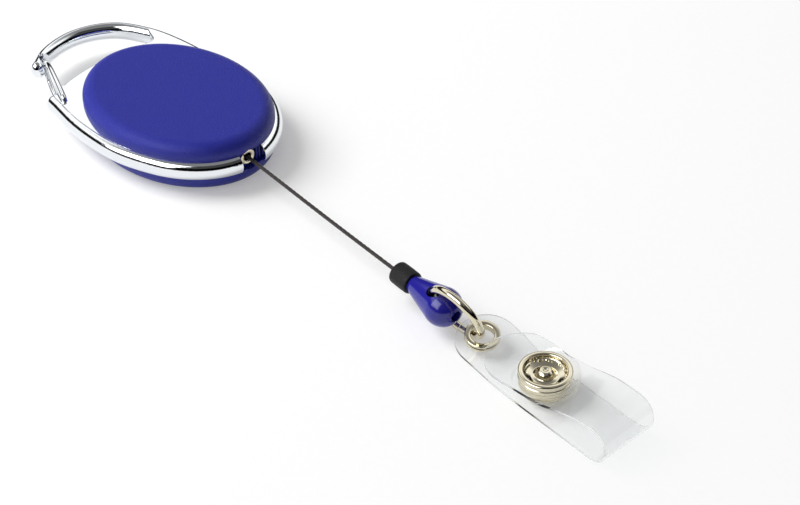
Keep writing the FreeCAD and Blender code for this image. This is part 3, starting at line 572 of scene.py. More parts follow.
class BadgeReelClipSizes(bpy.types.PropertyGroup):
    ring_radius: length("Ring Radius", "Radius of the jump ring to the middle of its wire", 6.0)
    ring_wire: length("Ring Wire", "Diameter of the jump ring's wire", 1.6)
    ring_seam: FloatProperty(name="Ring Seam", description="Opening left where the ring's ends meet",
                             default=math.radians(1.2), min=0.0, subtype="ANGLE")
    strap_width: length("Strap Width", "Width of the clear strap", 12.4)
    strap_sheet: length("Strap Sheet", "Thickness of the strap's sheet", 0.5)
    strap_roll: FloatProperty(name="Strap Roll", description="Roll of the strap's end on the ring",
                              default=math.radians(6), subtype="ANGLE")
    cap_radius: length("Cap Radius", "Outer radius of the press stud's cap", 5.1)
    crimps: IntProperty(name="Crimps", description="Crimped points round the inside of the cap", default=44,
                        min=8)


class BadgeReelColours(bpy.types.PropertyGroup):
    cover_plastic: tint("Covers", "Moulded colour of the two covers", "1b228e")
    bead_plastic: tint("Bead", "Moulded colour of the bead", "241f86")
    frame_chrome: tint("Chrome", "Reflection colour of the chrome plating", "e9ecef")
    nickel: tint("Nickel", "Reflection colour of the nickel plating", "e3dbc3")
    steel: tint("Steel", "Reflection colour of the springs and the axle", "9fa3a8")
    spool_plastic: tint("Spool", "Colour of the spool", "dedbd2")
    cord_braid: tint("Cord", "Colour of the cord", "120f0e")
    bumper_rubber: tint("Bumper", "Colour of the rubber bumper", "0c0b0b")
    clear_vinyl: tint("Strap", "Tint of the clear strap", "f5f6f6")


class BadgeReelStage(bpy.types.PropertyGroup):
    floor_radius: length("Floor Radius", "Radius of the pale floor", 1500)
    key_power: FloatProperty(name="Key Light", description="Power of the large soft light", default=24.0,
                             min=0.0, unit="POWER")
    fill: FloatProperty(name="Fill", description="Strength of the even light from all round", default=0.42,
                        min=0.0)
    window: FloatProperty(name="Window", default=3.6, min=0.0,
                          description="Brightness of the soft window that glossy pieces mirror")


# ---------------------------------------------------------------- frame, gate and mouth
def wire_group():
    """Round wire with closed ends along a path of mesh edges."""
    tree, start = start_group("Wire Along Path", [
        ("Wire Radius", "NodeSocketFloat", 0.0005), ("Sides", "NodeSocketInt", 32),
        ("Material", "NodeSocketMaterial", None)])
    path = add_node(tree, "GeometryNodeMeshToCurve", {"Mesh": start.outputs["Geometry"]})
    section = add_node(tree, "GeometryNodeCurvePrimitiveCircle", {"Resolution": start.outputs["Sides"],
                                                                 "Radius": start.outputs["Wire Radius"]})
    wire = add_node(tree, "GeometryNodeCurveToMesh", {
        "Curve": path.outputs[0], "Profile Curve": section.outputs[0], "Fill Caps": True})
    smooth = add_node(tree, "GeometryNodeSetShadeSmooth", {0: wire.outputs[0]})
    real = add_node(tree, "GeometryNodeRealizeInstances", {0: smooth.outputs[0]})
    painted = add_node(tree, "GeometryNodeSetMaterial", {"Geometry": real.outputs[0],
                                                         "Material": start.outputs["Material"]})
    add_node(tree, "NodeGroupOutput", {"Geometry": painted.outputs[0]})
    return tree


def wire_piece(name, points, place, radius, material, sides=32):
    """Round wire of a radius in metres along millimetre points."""
    mesh = bpy.data.meshes.new(name)
    mesh.from_pydata([tuple(p) for p in points], [(i, i + 1) for i in range(len(points) - 1)], [])
    mesh.transform(Matrix.Scale(MM, 4) @ place)
    piece = link_object(name, mesh)
    modifier = piece.modifiers.new("Wire", "NODES")
    modifier.node_group = bpy.data.node_groups.get("Wire Along Path") or wire_group()
    set_inputs(modifier, Wire_Radius=radius, Sides=sides, Material=material)
    bake_modifiers(piece)
    piece.data.set_sharp_from_angle(angle=math.radians(50))
    return piece


def make_gate(sizes):
    """Wire gate: a loop with bowed legs and a narrow closed end, whose two ends turn into the frame."""
    span, leg, bow = sizes.gate_length / MM, sizes.gate_leg / MM, sizes.gate_bow / MM
    pin_end, elbow = 0.95, 1.2
    pin = bent_wire([(0, 0, pin_end), (0, 0, leg), (elbow, 0, leg)], [0.9])[:-1]
    upper = [(elbow, leg), (5.0, leg + 0.62 * bow), (10.0, leg + bow), (14.5, leg + 0.45 * bow),
             (18.0, leg - 1.0), (19.9, 1.0)]
    loop = np.array(upper + [(span, 0.0)] + [(x, -z) for x, z in reversed(upper)])
    run = distances(loop)
    curve = natural_spline(run, loop, np.linspace(0, run[-1], 161))
    points = pin + [Vector((x, 0, z)) for x, z in curve]
    points += [Vector((p.x, 0, -p.z)) for p in reversed(pin)]
    gate = wire_piece("gate", points, level_frame(GATE_PIVOT, GATE_YAW), sizes.gate_wire / 2,
                      finish_named("frame_chrome"))
    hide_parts("gate_wire")
    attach(gate, "gate")


def extruded(name, outline, low, high, smooth_angle=30):
    """Upright prism over a millimetre outline."""
    count = len(outline)
    vertices = [(x, y, z) for z in (low, high) for x, y in outline]
    faces = [tuple(reversed(range(count))), tuple(range(count, 2 * count))]
    faces += [(i, (i + 1) % count, count + (i + 1) % count, count + i) for i in range(count)]
    return new_object(name, vertices, faces, None, smooth_angle)


def cut_away(piece, cutter):
    """Takes a cutter's shape out of a piece."""
    modifier = piece.modifiers.new("Cut", "BOOLEAN")
    modifier.operation = "DIFFERENCE"
    modifier.solver = "EXACT"
    modifier.object = cutter
    bake_modifiers(piece)
    bpy.data.objects.remove(cutter)


def make_guide(sizes):
    """Guide block that holds the eyelet between the frame's two ends, slotted beside it."""
    slot = sizes.guide_slot / MM
    low, high = (corner.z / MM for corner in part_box("exit_guide"))
    back, front, ledge, side, slot_end = 18.0, 23.35, 2.0, 3.0, 21.2
    outline = [(back, -side), (front, -side), (front, ledge), (slot_end, ledge), (slot_end, ledge + slot),
               (front + 0.1, ledge + slot), (front + 0.05, side), (back, side)]
    guide = extruded("mouth_guide", outline, low, high)
    bore = [(0, -9, 0), (1.43, -9, 0), (1.43, 9, 0), (0, 9, 0)]
    cut_away(guide, turned("guide_bore", bore, MOUTH_FRAME, around=48))
    bevel = guide.modifiers.new("Bevel", "BEVEL")
    bevel.width = 0.12 * MM
    bevel.segments = 2
    bevel.limit_method = "ANGLE"
    bake_modifiers(guide)
    smooth_to(guide.data, 35)
    set_material(guide, finish_named("cover_plastic"))
    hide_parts("exit_guide")
    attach(guide, "case")


def make_eyelet(sizes):
    """Rolled eyelet with a rounded lip, its barrel in the guide."""
    outer, bore = sizes.eyelet_radius / MM, sizes.eyelet_bore / MM
    barrel, barrel_end, lip_back = 1.4, -3.8, -0.5
    corners = [(bore, barrel_end, 0.1), (barrel, barrel_end, 0.1), (barrel, lip_back, 0.1),
               (outer, lip_back, 0.18), (outer, -0.05, 0.4), ((outer + bore) / 2, 0.06, 0.5),
               (bore, -0.1, 0.5), (bore, -1.0, 0.3)]
    eyelet = turned("mouth_eyelet", corners, MOUTH_FRAME, closed=True, around=64)
    set_material(eyelet, finish_named("nickel"))
    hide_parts("cord_eyelet")
    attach(eyelet, "case")


# ---------------------------------------------------------------- cord, bumper, bead and knot
def cord_route():
    """Points of the cord's line, in millimetres: taut, with the slight sag of its own weight."""
    stations = [(0.0, 0.0), (5.0, -0.02), (28.0, -0.22), (50.0, -0.02), (FREE_CORD, 0.0)]
    return [MOUTH + CORD_WAY * along + UP * dip for along, dip in stations]


def route_line(route):
    """Points, in metres, read from the smooth curve that has the route's points as its controls."""
    curve = bpy.data.curves.new("cord_route", "CURVE")
    curve.dimensions = "3D"
    spline = curve.splines.new("NURBS")
    spline.points.add(len(route) - 1)
    for point, place in zip(spline.points, route):
        point.co = (*(place * MM), 1.0)
    spline.order_u = 3
    spline.use_endpoint_u = True
    spline.resolution_u = 120
    holder = link_object("cord_route", curve)
    points = [v.co.copy() for v in bpy.data.meshes.new_from_object(holder).vertices]
    bpy.data.objects.remove(holder)
    return points


def strand_height(angle, turn, strands):
    """Height of the braid's skin, up to 1: two sets of strands wind opposite ways and take turns on top."""
    right = abs(math.cos(strands / 2 * angle + turn))
    left = abs(math.cos(strands / 2 * angle - turn))
    over = math.cos(strands * angle) * math.cos(2 * turn) > 0
    return (0.35 + 0.65 * (right if over else left)) * (0.6 + 0.4 * max(right, left))


def make_cord(sizes):
    """Braided cord from the mouth to the knot: a tube whose skin has strands that cross over and under."""
    line = route_line(cord_route())
    sides = 24
    radius, relief = sizes.diameter / 2, sizes.relief
    vertices, heights = [], []
    run = 0.0
    for i, here in enumerate(line):
        before, after = line[max(i - 1, 0)], line[min(i + 1, len(line) - 1)]
        way = (after - before).normalized()
        side = UP.cross(way).normalized()
        up = way.cross(side)
        run += (here - line[i - 1]).length if i else 0.0
        for k in range(sides):
            angle = 2 * math.pi * k / sides
            height = strand_height(angle, math.pi * run / sizes.pitch, sizes.strands)
            out = radius - relief * (1 - height)
            heights.append(height)
            vertices.append(here + (side * math.cos(angle) + up * math.sin(angle)) * out)
    last = (len(line) - 1) * sides
    faces = [(i + k, i + (k + 1) % sides, i + (k + 1) % sides + sides, i + k + sides)
             for i in range(0, last, sides) for k in range(sides)]
    faces += [tuple(reversed(range(sides))), tuple(range(last, last + sides))]
    mesh = bpy.data.meshes.new("pull_cord")
    mesh.from_pydata([tuple(v) for v in vertices], [], faces)
    mesh.attributes.new("strand_height", "FLOAT", "POINT").data.foreach_set("value", heights)
    face_outwards(mesh)
    mesh.shade_smooth()
    cord = link_object("pull_cord", mesh)
    set_material(cord, finish_named("cord_braid"))
    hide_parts("cord_lead", "cord_run")
    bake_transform(cord)
    return cord, line


def make_bumper(sizes):
    """Rubber bumper slid on the cord, its cut ends barely broken."""
    outer, span = sizes.bumper_radius / MM, sizes.bumper_length / MM
    hole = 0.47
    corners = [(hole, 0.0, 0.1), (outer - 0.05, 0.0, 0.22), (outer, 0.5, 0.4), (outer + 0.03, span / 2, 2),
               (outer, span - 0.5, 0.4), (outer - 0.05, span, 0.22), (hole, span, 0.1)]
    bumper = turned("cord_bumper", corners, cord_frame(BUMPER_START), closed=True, around=72)
    set_material(bumper, finish_named("bumper_rubber"))
    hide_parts("bumper")
    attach(bumper, "clip")
    return bumper


def ring_frame(shift=0.0):
    """Local frame of the jump ring with Z along its axis, shifted along the frame's X."""
    place = placement(RING_MIDDLE, RING_NORMAL.cross(RING_UP), RING_UP, -RING_NORMAL)
    return Matrix.Translation((shift, 0, 0)) @ place


def make_bead(sizes, ring):
    """Drop-shaped bead: a straight cone that runs into a ball, bored for the cord, its knot and the ring."""
    ball, neck, passage = sizes.bead_radius / MM, sizes.bead_neck / MM, sizes.bead_passage / MM
    middle = sizes.bead_length / MM - ball
    lean = math.asin(ball / math.hypot(middle, neck)) - math.atan2(neck, middle)
    outline = [(0, 0, 0), (neck, 0, 0.25)]
    for k in range(41):
        angle = lean + (-math.pi / 2 - lean) * k / 40
        outline.append((max(ball * math.cos(angle), 0.0), middle - ball * math.sin(angle), 0))
    bead = turned("drop_bead", outline, cord_frame(BEAD_START), around=128)
    cord_hole, pocket, pocket_start = 0.475, 1.15, KNOT_START - BEAD_START
    cord_bore = [(0, -2, 0), (cord_hole, -2, 0), (cord_hole, 6, 0), (0, 6, 0)]
    end_bore = [(0, pocket_start, 0), (pocket, pocket_start, 0), (pocket, 16, 0), (0, 16, 0)]
    round_passage = [(ring + passage * math.cos(a), passage * math.sin(a), 0)
                     for a in (2 * math.pi * k / 32 for k in range(32))]
    cut_away(bead, turned("cord_bore", cord_bore, cord_frame(BEAD_START), around=32))
    cut_away(bead, turned("end_bore", end_bore, cord_frame(BEAD_START), around=48))
    cut_away(bead, turned("ring_passage", round_passage, ring_frame(-0.1), closed=True, around=128))
    smooth_to(bead.data, 32)
    set_material(bead, finish_named("bead_plastic"))
    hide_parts("bead")
    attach(bead, "clip")
    return bead


def make_knot(sizes):
    """Overhand knot of the cord, pulled tight in the bead's pocket, with a small gap where its ends meet."""
    points = []
    for k in range(86):
        turn = 2 * math.pi * k / 90 + 0.35
        out = 0.493 * (2 + math.cos(3 * turn)) / 3
        points.append((out * math.cos(2 * turn), out * math.sin(2 * turn), 1.2 + 0.62 * math.sin(3 * turn)))
    knot = wire_piece("end_knot", points, cord_frame(KNOT_START), sizes.diameter / 2 * 0.92,
                      finish_named("cord_braid"), 20)
    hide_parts("cord_knot")
    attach(knot, "clip")
    return knot


# ---------------------------------------------------------------- ring and strap
def make_ring(sizes):
    """Jump ring of round wire, its two cut ends all but meeting."""
    radius, seam = sizes.ring_radius / MM, sizes.ring_seam
    seam_at = math.radians(200)
    angles = [seam_at + seam / 2 + (2 * math.pi - seam) * k / 180 for k in range(181)]
    points = [(radius * math.cos(a), radius * math.sin(a), 0) for a in angles]
    ring = wire_piece("split_jump_ring", points, ring_frame(), sizes.ring_wire / 2,
                      finish_named("nickel"), 40)
    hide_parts("jump_ring")
    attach(ring, "ring")


# Middle of the strap's sheet: along the strap and height, and on the fold and the flap also how far the near
# and the far edge stand from that height.
LEG_STATIONS = [(t, z, 0.0, 0.0) for t, z in (
    (-4.8, 3.48), (-2.4, 3.19), (0.0, 2.90), (2.4, 2.56), (4.8, 2.10), (7.0, 1.60), (9.5, 1.06),
    (12.0, 0.78), (16.5, 0.70), (22.0, 0.70), (27.0, 0.70), (31.0, 0.70))]
FOLD_STATIONS = [
    (33.7, 0.74, 0.0, 0.0), (35.9, 1.55, 0.0, 0.0), (36.9, 3.10, 0.0, 0.0), (37.05, 4.60, 0.0, 0.0),
    (36.6, 6.20, -0.1, 0.15), (35.2, 7.45, -0.15, 0.25), (33.2, 7.85, -0.2, 0.3), (31.0, 7.75, -0.35, 0.4)]
FLAP_STATIONS = [
    (28.5, 7.30, -0.4, 0.75), (26.0, 6.35, -0.3, 1.2), (24.0, 5.30, 0.2, 1.8), (22.0, 4.35, 0.5, 2.2),
    (20.0, 3.85, 0.5, 2.4), (16.5, 3.75, 0.1, 2.1), (12.0, 3.75, -0.6, 2.0), (9.0, 3.72, -0.75, 1.6),
    (6.0, 3.78, -0.35, 0.9), (4.4, 3.86, -0.1, 0.5), (3.0, 3.92, 0.0, 0.25)]
STATIONS = np.array(LEG_STATIONS + FOLD_STATIONS + FLAP_STATIONS)
STATION_RUN = distances(STATIONS[:, :2])


def sheet_points(run, across, width, roll):
    """Middle of the sheet at distances along it and at millimetres across it, near side negative."""
    t, z, near, far = (column[:, None] for column in natural_spline(STATION_RUN, STATIONS, run).T)
    share = across * 2 / width
    on_leg = (run < STATION_RUN[len(LEG_STATIONS)])[:, None]
    rolled = z + across * math.tan(roll) * ease((ROLL_END - t) / ROLL_FADE)
    curled = z + (far - near) / 2 * share + (far + near) / 2 * share * share
    from_cap = np.hypot(t - SNAP_T, across) - FLAT_RADIUS
    pressed = FLAP_Z + (curled - FLAP_Z) * ease(from_cap / FLAT_FADE)
    return np.stack([t + 0 * across, across + 0 * t, np.where(on_leg, rolled, pressed)], axis=-1)


def sheet_rows(first, last, width, tip):
    """Distances of a sheet's rows and half its width at each; rows crowd into a round tip."""
    count = max(int((last - first) / 0.35), 24)
    if tip is None:
        return np.linspace(first, last, count), np.full(count, width / 2)
    reach = (last - first) * np.linspace(0, 1, count) ** 1.6
    inside = np.clip(width / 2 - reach, 0, None)
    half = np.sqrt(np.clip((width / 2) ** 2 - inside ** 2, 0, None))
    if tip == "start":
        return first + reach, half
    return last - reach[::-1], half[::-1]


def sheet_faces(rows, columns):
    """Faces of a sheet's top, its underside and its two long edges. Its straight ends stay open, because
    the next run of the same sheet goes on there."""
    below = rows * columns
    faces = []
    for i in range(rows - 1):
        for j in range(columns - 1):
            a = i * columns + j
            faces.append((a, a + 1, a + columns + 1, a + columns))
            faces.append((below + a, below + a + columns, below + a + columns + 1, below + a + 1))
        near, far = i * columns, (i + 1) * columns - 1
        faces.append((near, near + columns, below + near + columns, below + near))
        faces.append((below + far, below + far + columns, far + columns, far))
    return faces


def sheet_piece(name, first, last, sizes, cutters, tip=None):
    """Part of the strap between two distances along it, with its thickness and its holes."""
    width, thick, roll = sizes.strap_width / MM, sizes.strap_sheet / MM, sizes.strap_roll
    columns = 41
    step = 0.02
    run, half = sheet_rows(first, last, width, tip)
    across = half[:, None] * np.sin(np.linspace(-1, 1, columns) * math.pi / 2)
    middle = sheet_points(run, across, width, roll)
    ahead = sheet_points(run + step, across, width, roll) - sheet_points(run - step, across, width, roll)
    aside = sheet_points(run, across + step, width, roll) - sheet_points(run, across - step, width, roll)
    normal = np.cross(ahead, aside)
    normal /= np.linalg.norm(normal, axis=-1, keepdims=True)
    top, bottom = middle + normal * thick / 2, middle - normal * thick / 2
    vertices = np.concatenate([top.reshape(-1, 3), bottom.reshape(-1, 3)])
    mesh = bpy.data.meshes.new(name)
    mesh.from_pydata([tuple(v) for v in vertices], [], sheet_faces(len(run), columns))
    face_outwards(mesh, merge=1e-4)
    mesh.transform(Matrix.Scale(MM, 4) @ STRAP)
    piece = link_object(name, mesh)
    for cutter in cutters:
        cut_away(piece, cutter)
    smooth_to(piece.data, 40)
    set_material(piece, finish_named("clear_vinyl"))
    return piece


def grommet_frame(sizes):
    """Local frame of the grommet: on the strap's slope and rolled with it."""
    slope = Matrix.Rotation(math.radians(GROMMET_SLOPE), 4, "Y")
    return STRAP @ Matrix.Translation((0, 0, GROMMET_Z)) @ slope @ Matrix.Rotation(sizes.strap_roll, 4, "X")


def hole_cutter(name, radius, reach, place):
    """Round plug that reaches as far above its place as below it."""
    return turned(name, [(0, -reach, 0), (radius, -reach, 0), (radius, reach, 0), (0, reach, 0)], place,
                  around=72)


def make_strap(sizes):
    """Clear strap in three runs of one sheet: the leg, the fold and the flap."""
    fold_start = STATION_RUN[len(LEG_STATIONS) - 1]
    fold_end = STATION_RUN[len(LEG_STATIONS) + len(FOLD_STATIONS) - 1]
    grommet_hole = hole_cutter("grommet_hole", 2.72, 6, grommet_frame(sizes))
    post_hole = hole_cutter("post_hole", 0.45, 1.8, SNAP @ Matrix.Translation((0, 0, 0.7)))
    leg = sheet_piece("strap_lower_run", 0, fold_start, sizes, [grommet_hole, post_hole], tip="start")
    fold = sheet_piece("strap_fold", fold_start, fold_end, sizes, [])
    knob_hole = hole_cutter("knob_hole", 2.0, 6, SNAP @ Matrix.Translation((0, 0, FLAP_Z)))
    flap = sheet_piece("strap_upper_run", fold_end, STATION_RUN[-1], sizes, [knob_hole], tip="end")
    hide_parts("strap_leg")
    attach(leg, "strap")
    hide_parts("strap_flap")
    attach(flap, "flap")
    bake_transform(fold)


def make_grommet(sizes):
    """Grommet rolled over both faces of the strap's end, the same above and below."""
    bore, barrel, outer = 2.25, 2.7, 3.46
    half = sizes.strap_sheet / MM / 2
    lip, seat = half + 0.62, half + 0.03
    upper = [(bore, lip - 0.1, 0.6), (2.8, lip + 0.02, 0.6), (outer, lip - 0.05, 0.65), (outer, seat, 0.2),
             (barrel, seat, 0.05)]
    corners = [(bore, 0, 0)] + upper + [(radius, -height, turn) for radius, height, turn in reversed(upper)]
    grommet = turned("rolled_grommet", corners, grommet_frame(sizes), closed=True, around=120)
    set_material(grommet, finish_named("nickel"))
    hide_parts("strap_grommet")
    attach(grommet, "strap")


# ---------------------------------------------------------------- press stud
def crimp_group():
    """Crimped points set round a circle, each sized, tilted and shifted by a seeded draw."""
    tree, start = start_group("Crimped Ring", [
        ("Count", "NodeSocketInt", 44), ("Ring Radius", "NodeSocketFloat", 0.0036),
        ("Point Size", "NodeSocketFloat", 0.00045), ("Seed", "NodeSocketInt", 7),
        ("Material", "NodeSocketMaterial", None)])
    circle = add_node(tree, "GeometryNodeMeshCircle", {"Vertices": start.outputs["Count"],
                                                       "Radius": start.outputs["Ring Radius"]})
    point = add_node(tree, "GeometryNodeMeshIcoSphere", {"Radius": start.outputs["Point Size"],
                                                         "Subdivisions": 1})
    size, turn, drift = (
        add_node(tree, "FunctionNodeRandomValue", {0: low, 1: high, "Seed": start.outputs["Seed"]},
                 data_type="FLOAT_VECTOR").outputs[0]
        for low, high in (((0.5, 0.5, 0.35), (1.15, 1.15, 0.8)), ((-3.1,) * 3, (3.1,) * 3),
                          ((-0.00016,) * 3, (0.00016,) * 3)))
    moved = add_node(tree, "GeometryNodeSetPosition", {"Geometry": circle.outputs[0], "Offset": drift})
    placed = add_node(tree, "GeometryNodeInstanceOnPoints", {
        "Points": moved.outputs[0], "Instance": point.outputs[0], "Rotation": turn, "Scale": size})
    real = add_node(tree, "GeometryNodeRealizeInstances", {0: placed.outputs[0]})
    painted = add_node(tree, "GeometryNodeSetMaterial", {"Geometry": real.outputs[0],
                                                         "Material": start.outputs["Material"]})
    add_node(tree, "NodeGroupOutput", {"Geometry": painted.outputs[0]})
    return tree


def make_crimps(sizes, height):
    """Crimped ring of the cap, made by Geometry Nodes and then lifted to its height over the press stud."""
    crimps = new_object("cap_crimps", [(0, 0, 0)], [])
    modifier = crimps.modifiers.new("Crimps", "NODES")
    modifier.node_group = crimp_group()
    set_inputs(modifier, Count=sizes.crimps, Ring_Radius=3.6 * MM, Point_Size=0.26 * MM, Seed=7,
               Material=finish_named("nickel"))
    bake_modifiers(crimps)
    place = SNAP @ Matrix.Translation((0, 0, height))
    crimps.data.transform(Matrix.Scale(MM, 4) @ place @ Matrix.Scale(1 / MM, 4))
    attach(crimps, "flap")


def lifted(corners, height):
    """(radius, height, rounding) corners moved up."""
    return [(radius, low + height, rounding) for radius, low, rounding in corners]


def make_press_stud(sizes):
    """Press stud: the post and the stud under the flap, the socket, and the open cap with its nub."""
    radius, half = sizes.cap_radius / MM, 0.25
    cap = [(0, 0, 0), (radius - 0.1, 0, 0.3), (radius, 0.35, 0.3), (radius, 0.82, 0.12),
           (radius - 0.22, 0.97, 0.08), (radius, 1.12, 0.15), (radius, 2.1, 0.55), (radius - 1.1, 2.1, 0.55),
           (radius - 1.1, 1.2, 0.3), (radius - 1.5, 0.95, 0.4), (2.5, 0.5, 0.6), (1.85, 0.75, 0.5),
           (1.5, 1.6, 0.5), (1.0, 1.98, 0.35), (0.55, 1.94, 0.2), (0.25, 1.74, 0.2), (0, 1.72, 0)]
    socket = [(2.2, -1.5, 0.1), (4.35, -1.5, 0.2), (4.85, -1.05, 0.35), (4.85, -0.3, 0.3), (4.5, 0, 0.2),
              (2.2, 0, 0.1), (2.2, -0.65, 0.05), (2.7, -0.65, 0.05), (2.7, -1.15, 0.05), (2.2, -1.15, 0.05)]
    stud = [(0, 1.12, 0), (1.42, 1.12, 0.05), (1.42, 0, 0.05), (4.2, 0, 0.2), (4.4, 0.4, 0.3),
            (4.2, 0.8, 0.3), (1.9, 0.8, 0.2), (1.8, 1.1, 0.15), (2.0, 1.4, 0.2), (2.0, 1.7, 0.2),
            (1.55, 2.15, 0.4), (0, 2.15, 0)]
    post = [(0, 0, 0), (2.85, 0, 0.2), (3.0, 0.2, 0.15), (2.9, 0.4, 0.1), (1.4, 0.4, 0.1), (1.4, 2.0, 0.1),
            (0, 2.0, 0)]
    pieces = [("stud_cap", cap, FLAP_Z + half, "snap_cap", "flap"),
              ("stud_socket", socket, FLAP_Z - half, "snap_socket", "flap"),
              ("stud_ball", stud, 0.95, "snap_stud", "strap"),
              ("stud_rivet", post, 0.05, "stud_post", "strap")]
    for name, corners, height, node, body in pieces:
        piece = turned(name, lifted(corners, height), SNAP, closed=name == "stud_socket", around=144)
        set_material(piece, finish_named("nickel"))
        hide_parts(node)
        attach(piece, body)
    make_crimps(sizes, FLAP_Z + half + 0.98)


# ---------------------------------------------------------------- stage
REFLECTED_BANDS = [(0.0, 0.75), (0.04, 0.75), (0.08, 0.012), (0.38, 0.012), (0.43, 0.2), (0.47, 0.85),
                   (0.5, 1.24), (0.68, 1.24), (0.8, 0.42), (0.9, 0.28), (1.0, 0.22)]  # height, brightness
PANEL_SIDE = (-0.94, 0.34, 0.0)              # where the bright panel stands
FILL_SIDE = (-0.8, -0.6, 0.0)                # where most of the even light comes from
WINDOW_MIDDLE = Vector((-0.159, -0.749, 0.6428)).normalized()


def reflected_room(tree, way):
    """What glossy pieces mirror: a bright panel round the back and left, a dark band of room under it, and a
    dim ceiling."""
    height = add_node(tree, "ShaderNodeSeparateXYZ", {0: way}).outputs["Z"]
    bands = add_node(tree, "ShaderNodeValToRGB", {0: height})
    ramp = bands.color_ramp
    for place, value in REFLECTED_BANDS[1:-1]:
        ramp.elements.new(place)
    for element, (place, value) in zip(ramp.elements, REFLECTED_BANDS):
        element.position = place
        element.color = (value, value, value, 1)
    side = add_node(tree, "ShaderNodeVectorMath", {0: way, 1: PANEL_SIDE}, operation="DOT_PRODUCT")
    level = add_node(tree, "ShaderNodeMapRange", {"Value": side.outputs["Value"], "From Min": -0.45,
                                                  "From Max": -0.15, "To Min": 0.05, "To Max": 1.0})
    above = add_node(tree, "ShaderNodeMapRange", {"Value": height, "From Min": 0.78, "From Max": 0.93})
    share = add_node(tree, "ShaderNodeMath", {0: level.outputs[0], 1: above.outputs[0]},
                     operation="MAXIMUM")
    return add_node(tree, "ShaderNodeVectorMath", {0: bands.outputs[0], "Scale": share.outputs[0]},
                    operation="SCALE").outputs[0]


def soft_window(tree, way):
    """Square window at the near left, 1 in its middle and soft at its edges, with nothing opposite it."""
    across = UP.cross(WINDOW_MIDDLE).normalized()
    window = None
    for axis, low, high, opposite in ((across, 0.34, 0.44, False),
                                      (WINDOW_MIDDLE.cross(across), 0.3, 0.36, False),
                                      (WINDOW_MIDDLE, 0.1, 0.3, True)):
        along = add_node(tree, "ShaderNodeVectorMath", {0: way, 1: tuple(axis)}, operation="DOT_PRODUCT")
        value = along.outputs["Value"]
        if not opposite:
            value = add_node(tree, "ShaderNodeMath", {0: value}, operation="ABSOLUTE").outputs[0]
        edge = add_node(tree, "ShaderNodeMapRange", {
            "Value": value, "From Min": low, "From Max": high, "To Min": 0.0 if opposite else 1.0,
            "To Max": 1.0 if opposite else 0.0}).outputs[0]
        window = edge if window is None else add_node(tree, "ShaderNodeMath", {0: window, 1: edge},
                                                      operation="MULTIPLY").outputs[0]
    return window


def make_world(stage):
    """Plain studio: white behind, a fill that is stronger from the near left, and a room for reflections."""
    world = bpy.data.worlds.new("studio")
    bpy.context.scene.world = world
    world.use_nodes = True
    world.cycles.sampling_method = "NONE"
    tree = world.node_tree
    tree.nodes.clear()
    way = add_node(tree, "ShaderNodeTexCoord").outputs["Generated"]
    room = reflected_room(tree, way)
    bright = add_node(tree, "ShaderNodeMath", {0: soft_window(tree, way), 1: stage.window},
                      operation="MULTIPLY")
    studio = add_node(tree, "ShaderNodeVectorMath", {0: room, 1: bright.outputs[0]}, operation="ADD")
    mirrored = add_node(tree, "ShaderNodeBackground", {"Color": studio.outputs[0], "Strength": 1.0})
    inside = add_node(tree, "ShaderNodeBackground", {"Color": (1, 1, 1, 1), "Strength": 0.7})
    lean = add_node(tree, "ShaderNodeVectorMath", {0: way, 1: FILL_SIDE}, operation="DOT_PRODUCT")
    toward = add_node(tree, "ShaderNodeMapRange", {"Value": lean.outputs["Value"], "From Min": -0.8,
                                                   "From Max": 0.8, "To Min": 0.1, "To Max": 1.8})
    soft = add_node(tree, "ShaderNodeMath", {0: toward.outputs[0], 1: stage.fill}, operation="MULTIPLY")
    even = add_node(tree, "ShaderNodeBackground", {"Color": (1, 1, 1, 1), "Strength": soft.outputs[0]})
    white = add_node(tree, "ShaderNodeBackground", {"Color": (1, 1, 1, 1), "Strength": 1.0})
    path = add_node(tree, "ShaderNodeLightPath")
    entered = add_node(tree, "ShaderNodeMath", {0: path.outputs["Transmission Depth"], 1: 0.5},
                       operation="GREATER_THAN")
    glossy = add_node(tree, "ShaderNodeMixShader", {0: entered.outputs[0], 1: mirrored.outputs[0],
                                                    2: inside.outputs[0]})
    lit = add_node(tree, "ShaderNodeMixShader", {0: path.outputs["Is Glossy Ray"], 1: even.outputs[0],
                                                 2: glossy.outputs[0]})
    seen = add_node(tree, "ShaderNodeMath", {0: path.outputs["Is Camera Ray"],
                                             1: path.outputs["Is Transmission Ray"]}, operation="MAXIMUM")
    both = add_node(tree, "ShaderNodeMixShader", {0: seen.outputs[0], 1: lit.outputs[0],
                                                  2: white.outputs[0]})
    add_node(tree, "ShaderNodeOutputWorld", {"Surface": both.outputs[0]})


FLOOR_MIDDLE = (40, 0, -0.03)                # millimetres: a hair under the covers


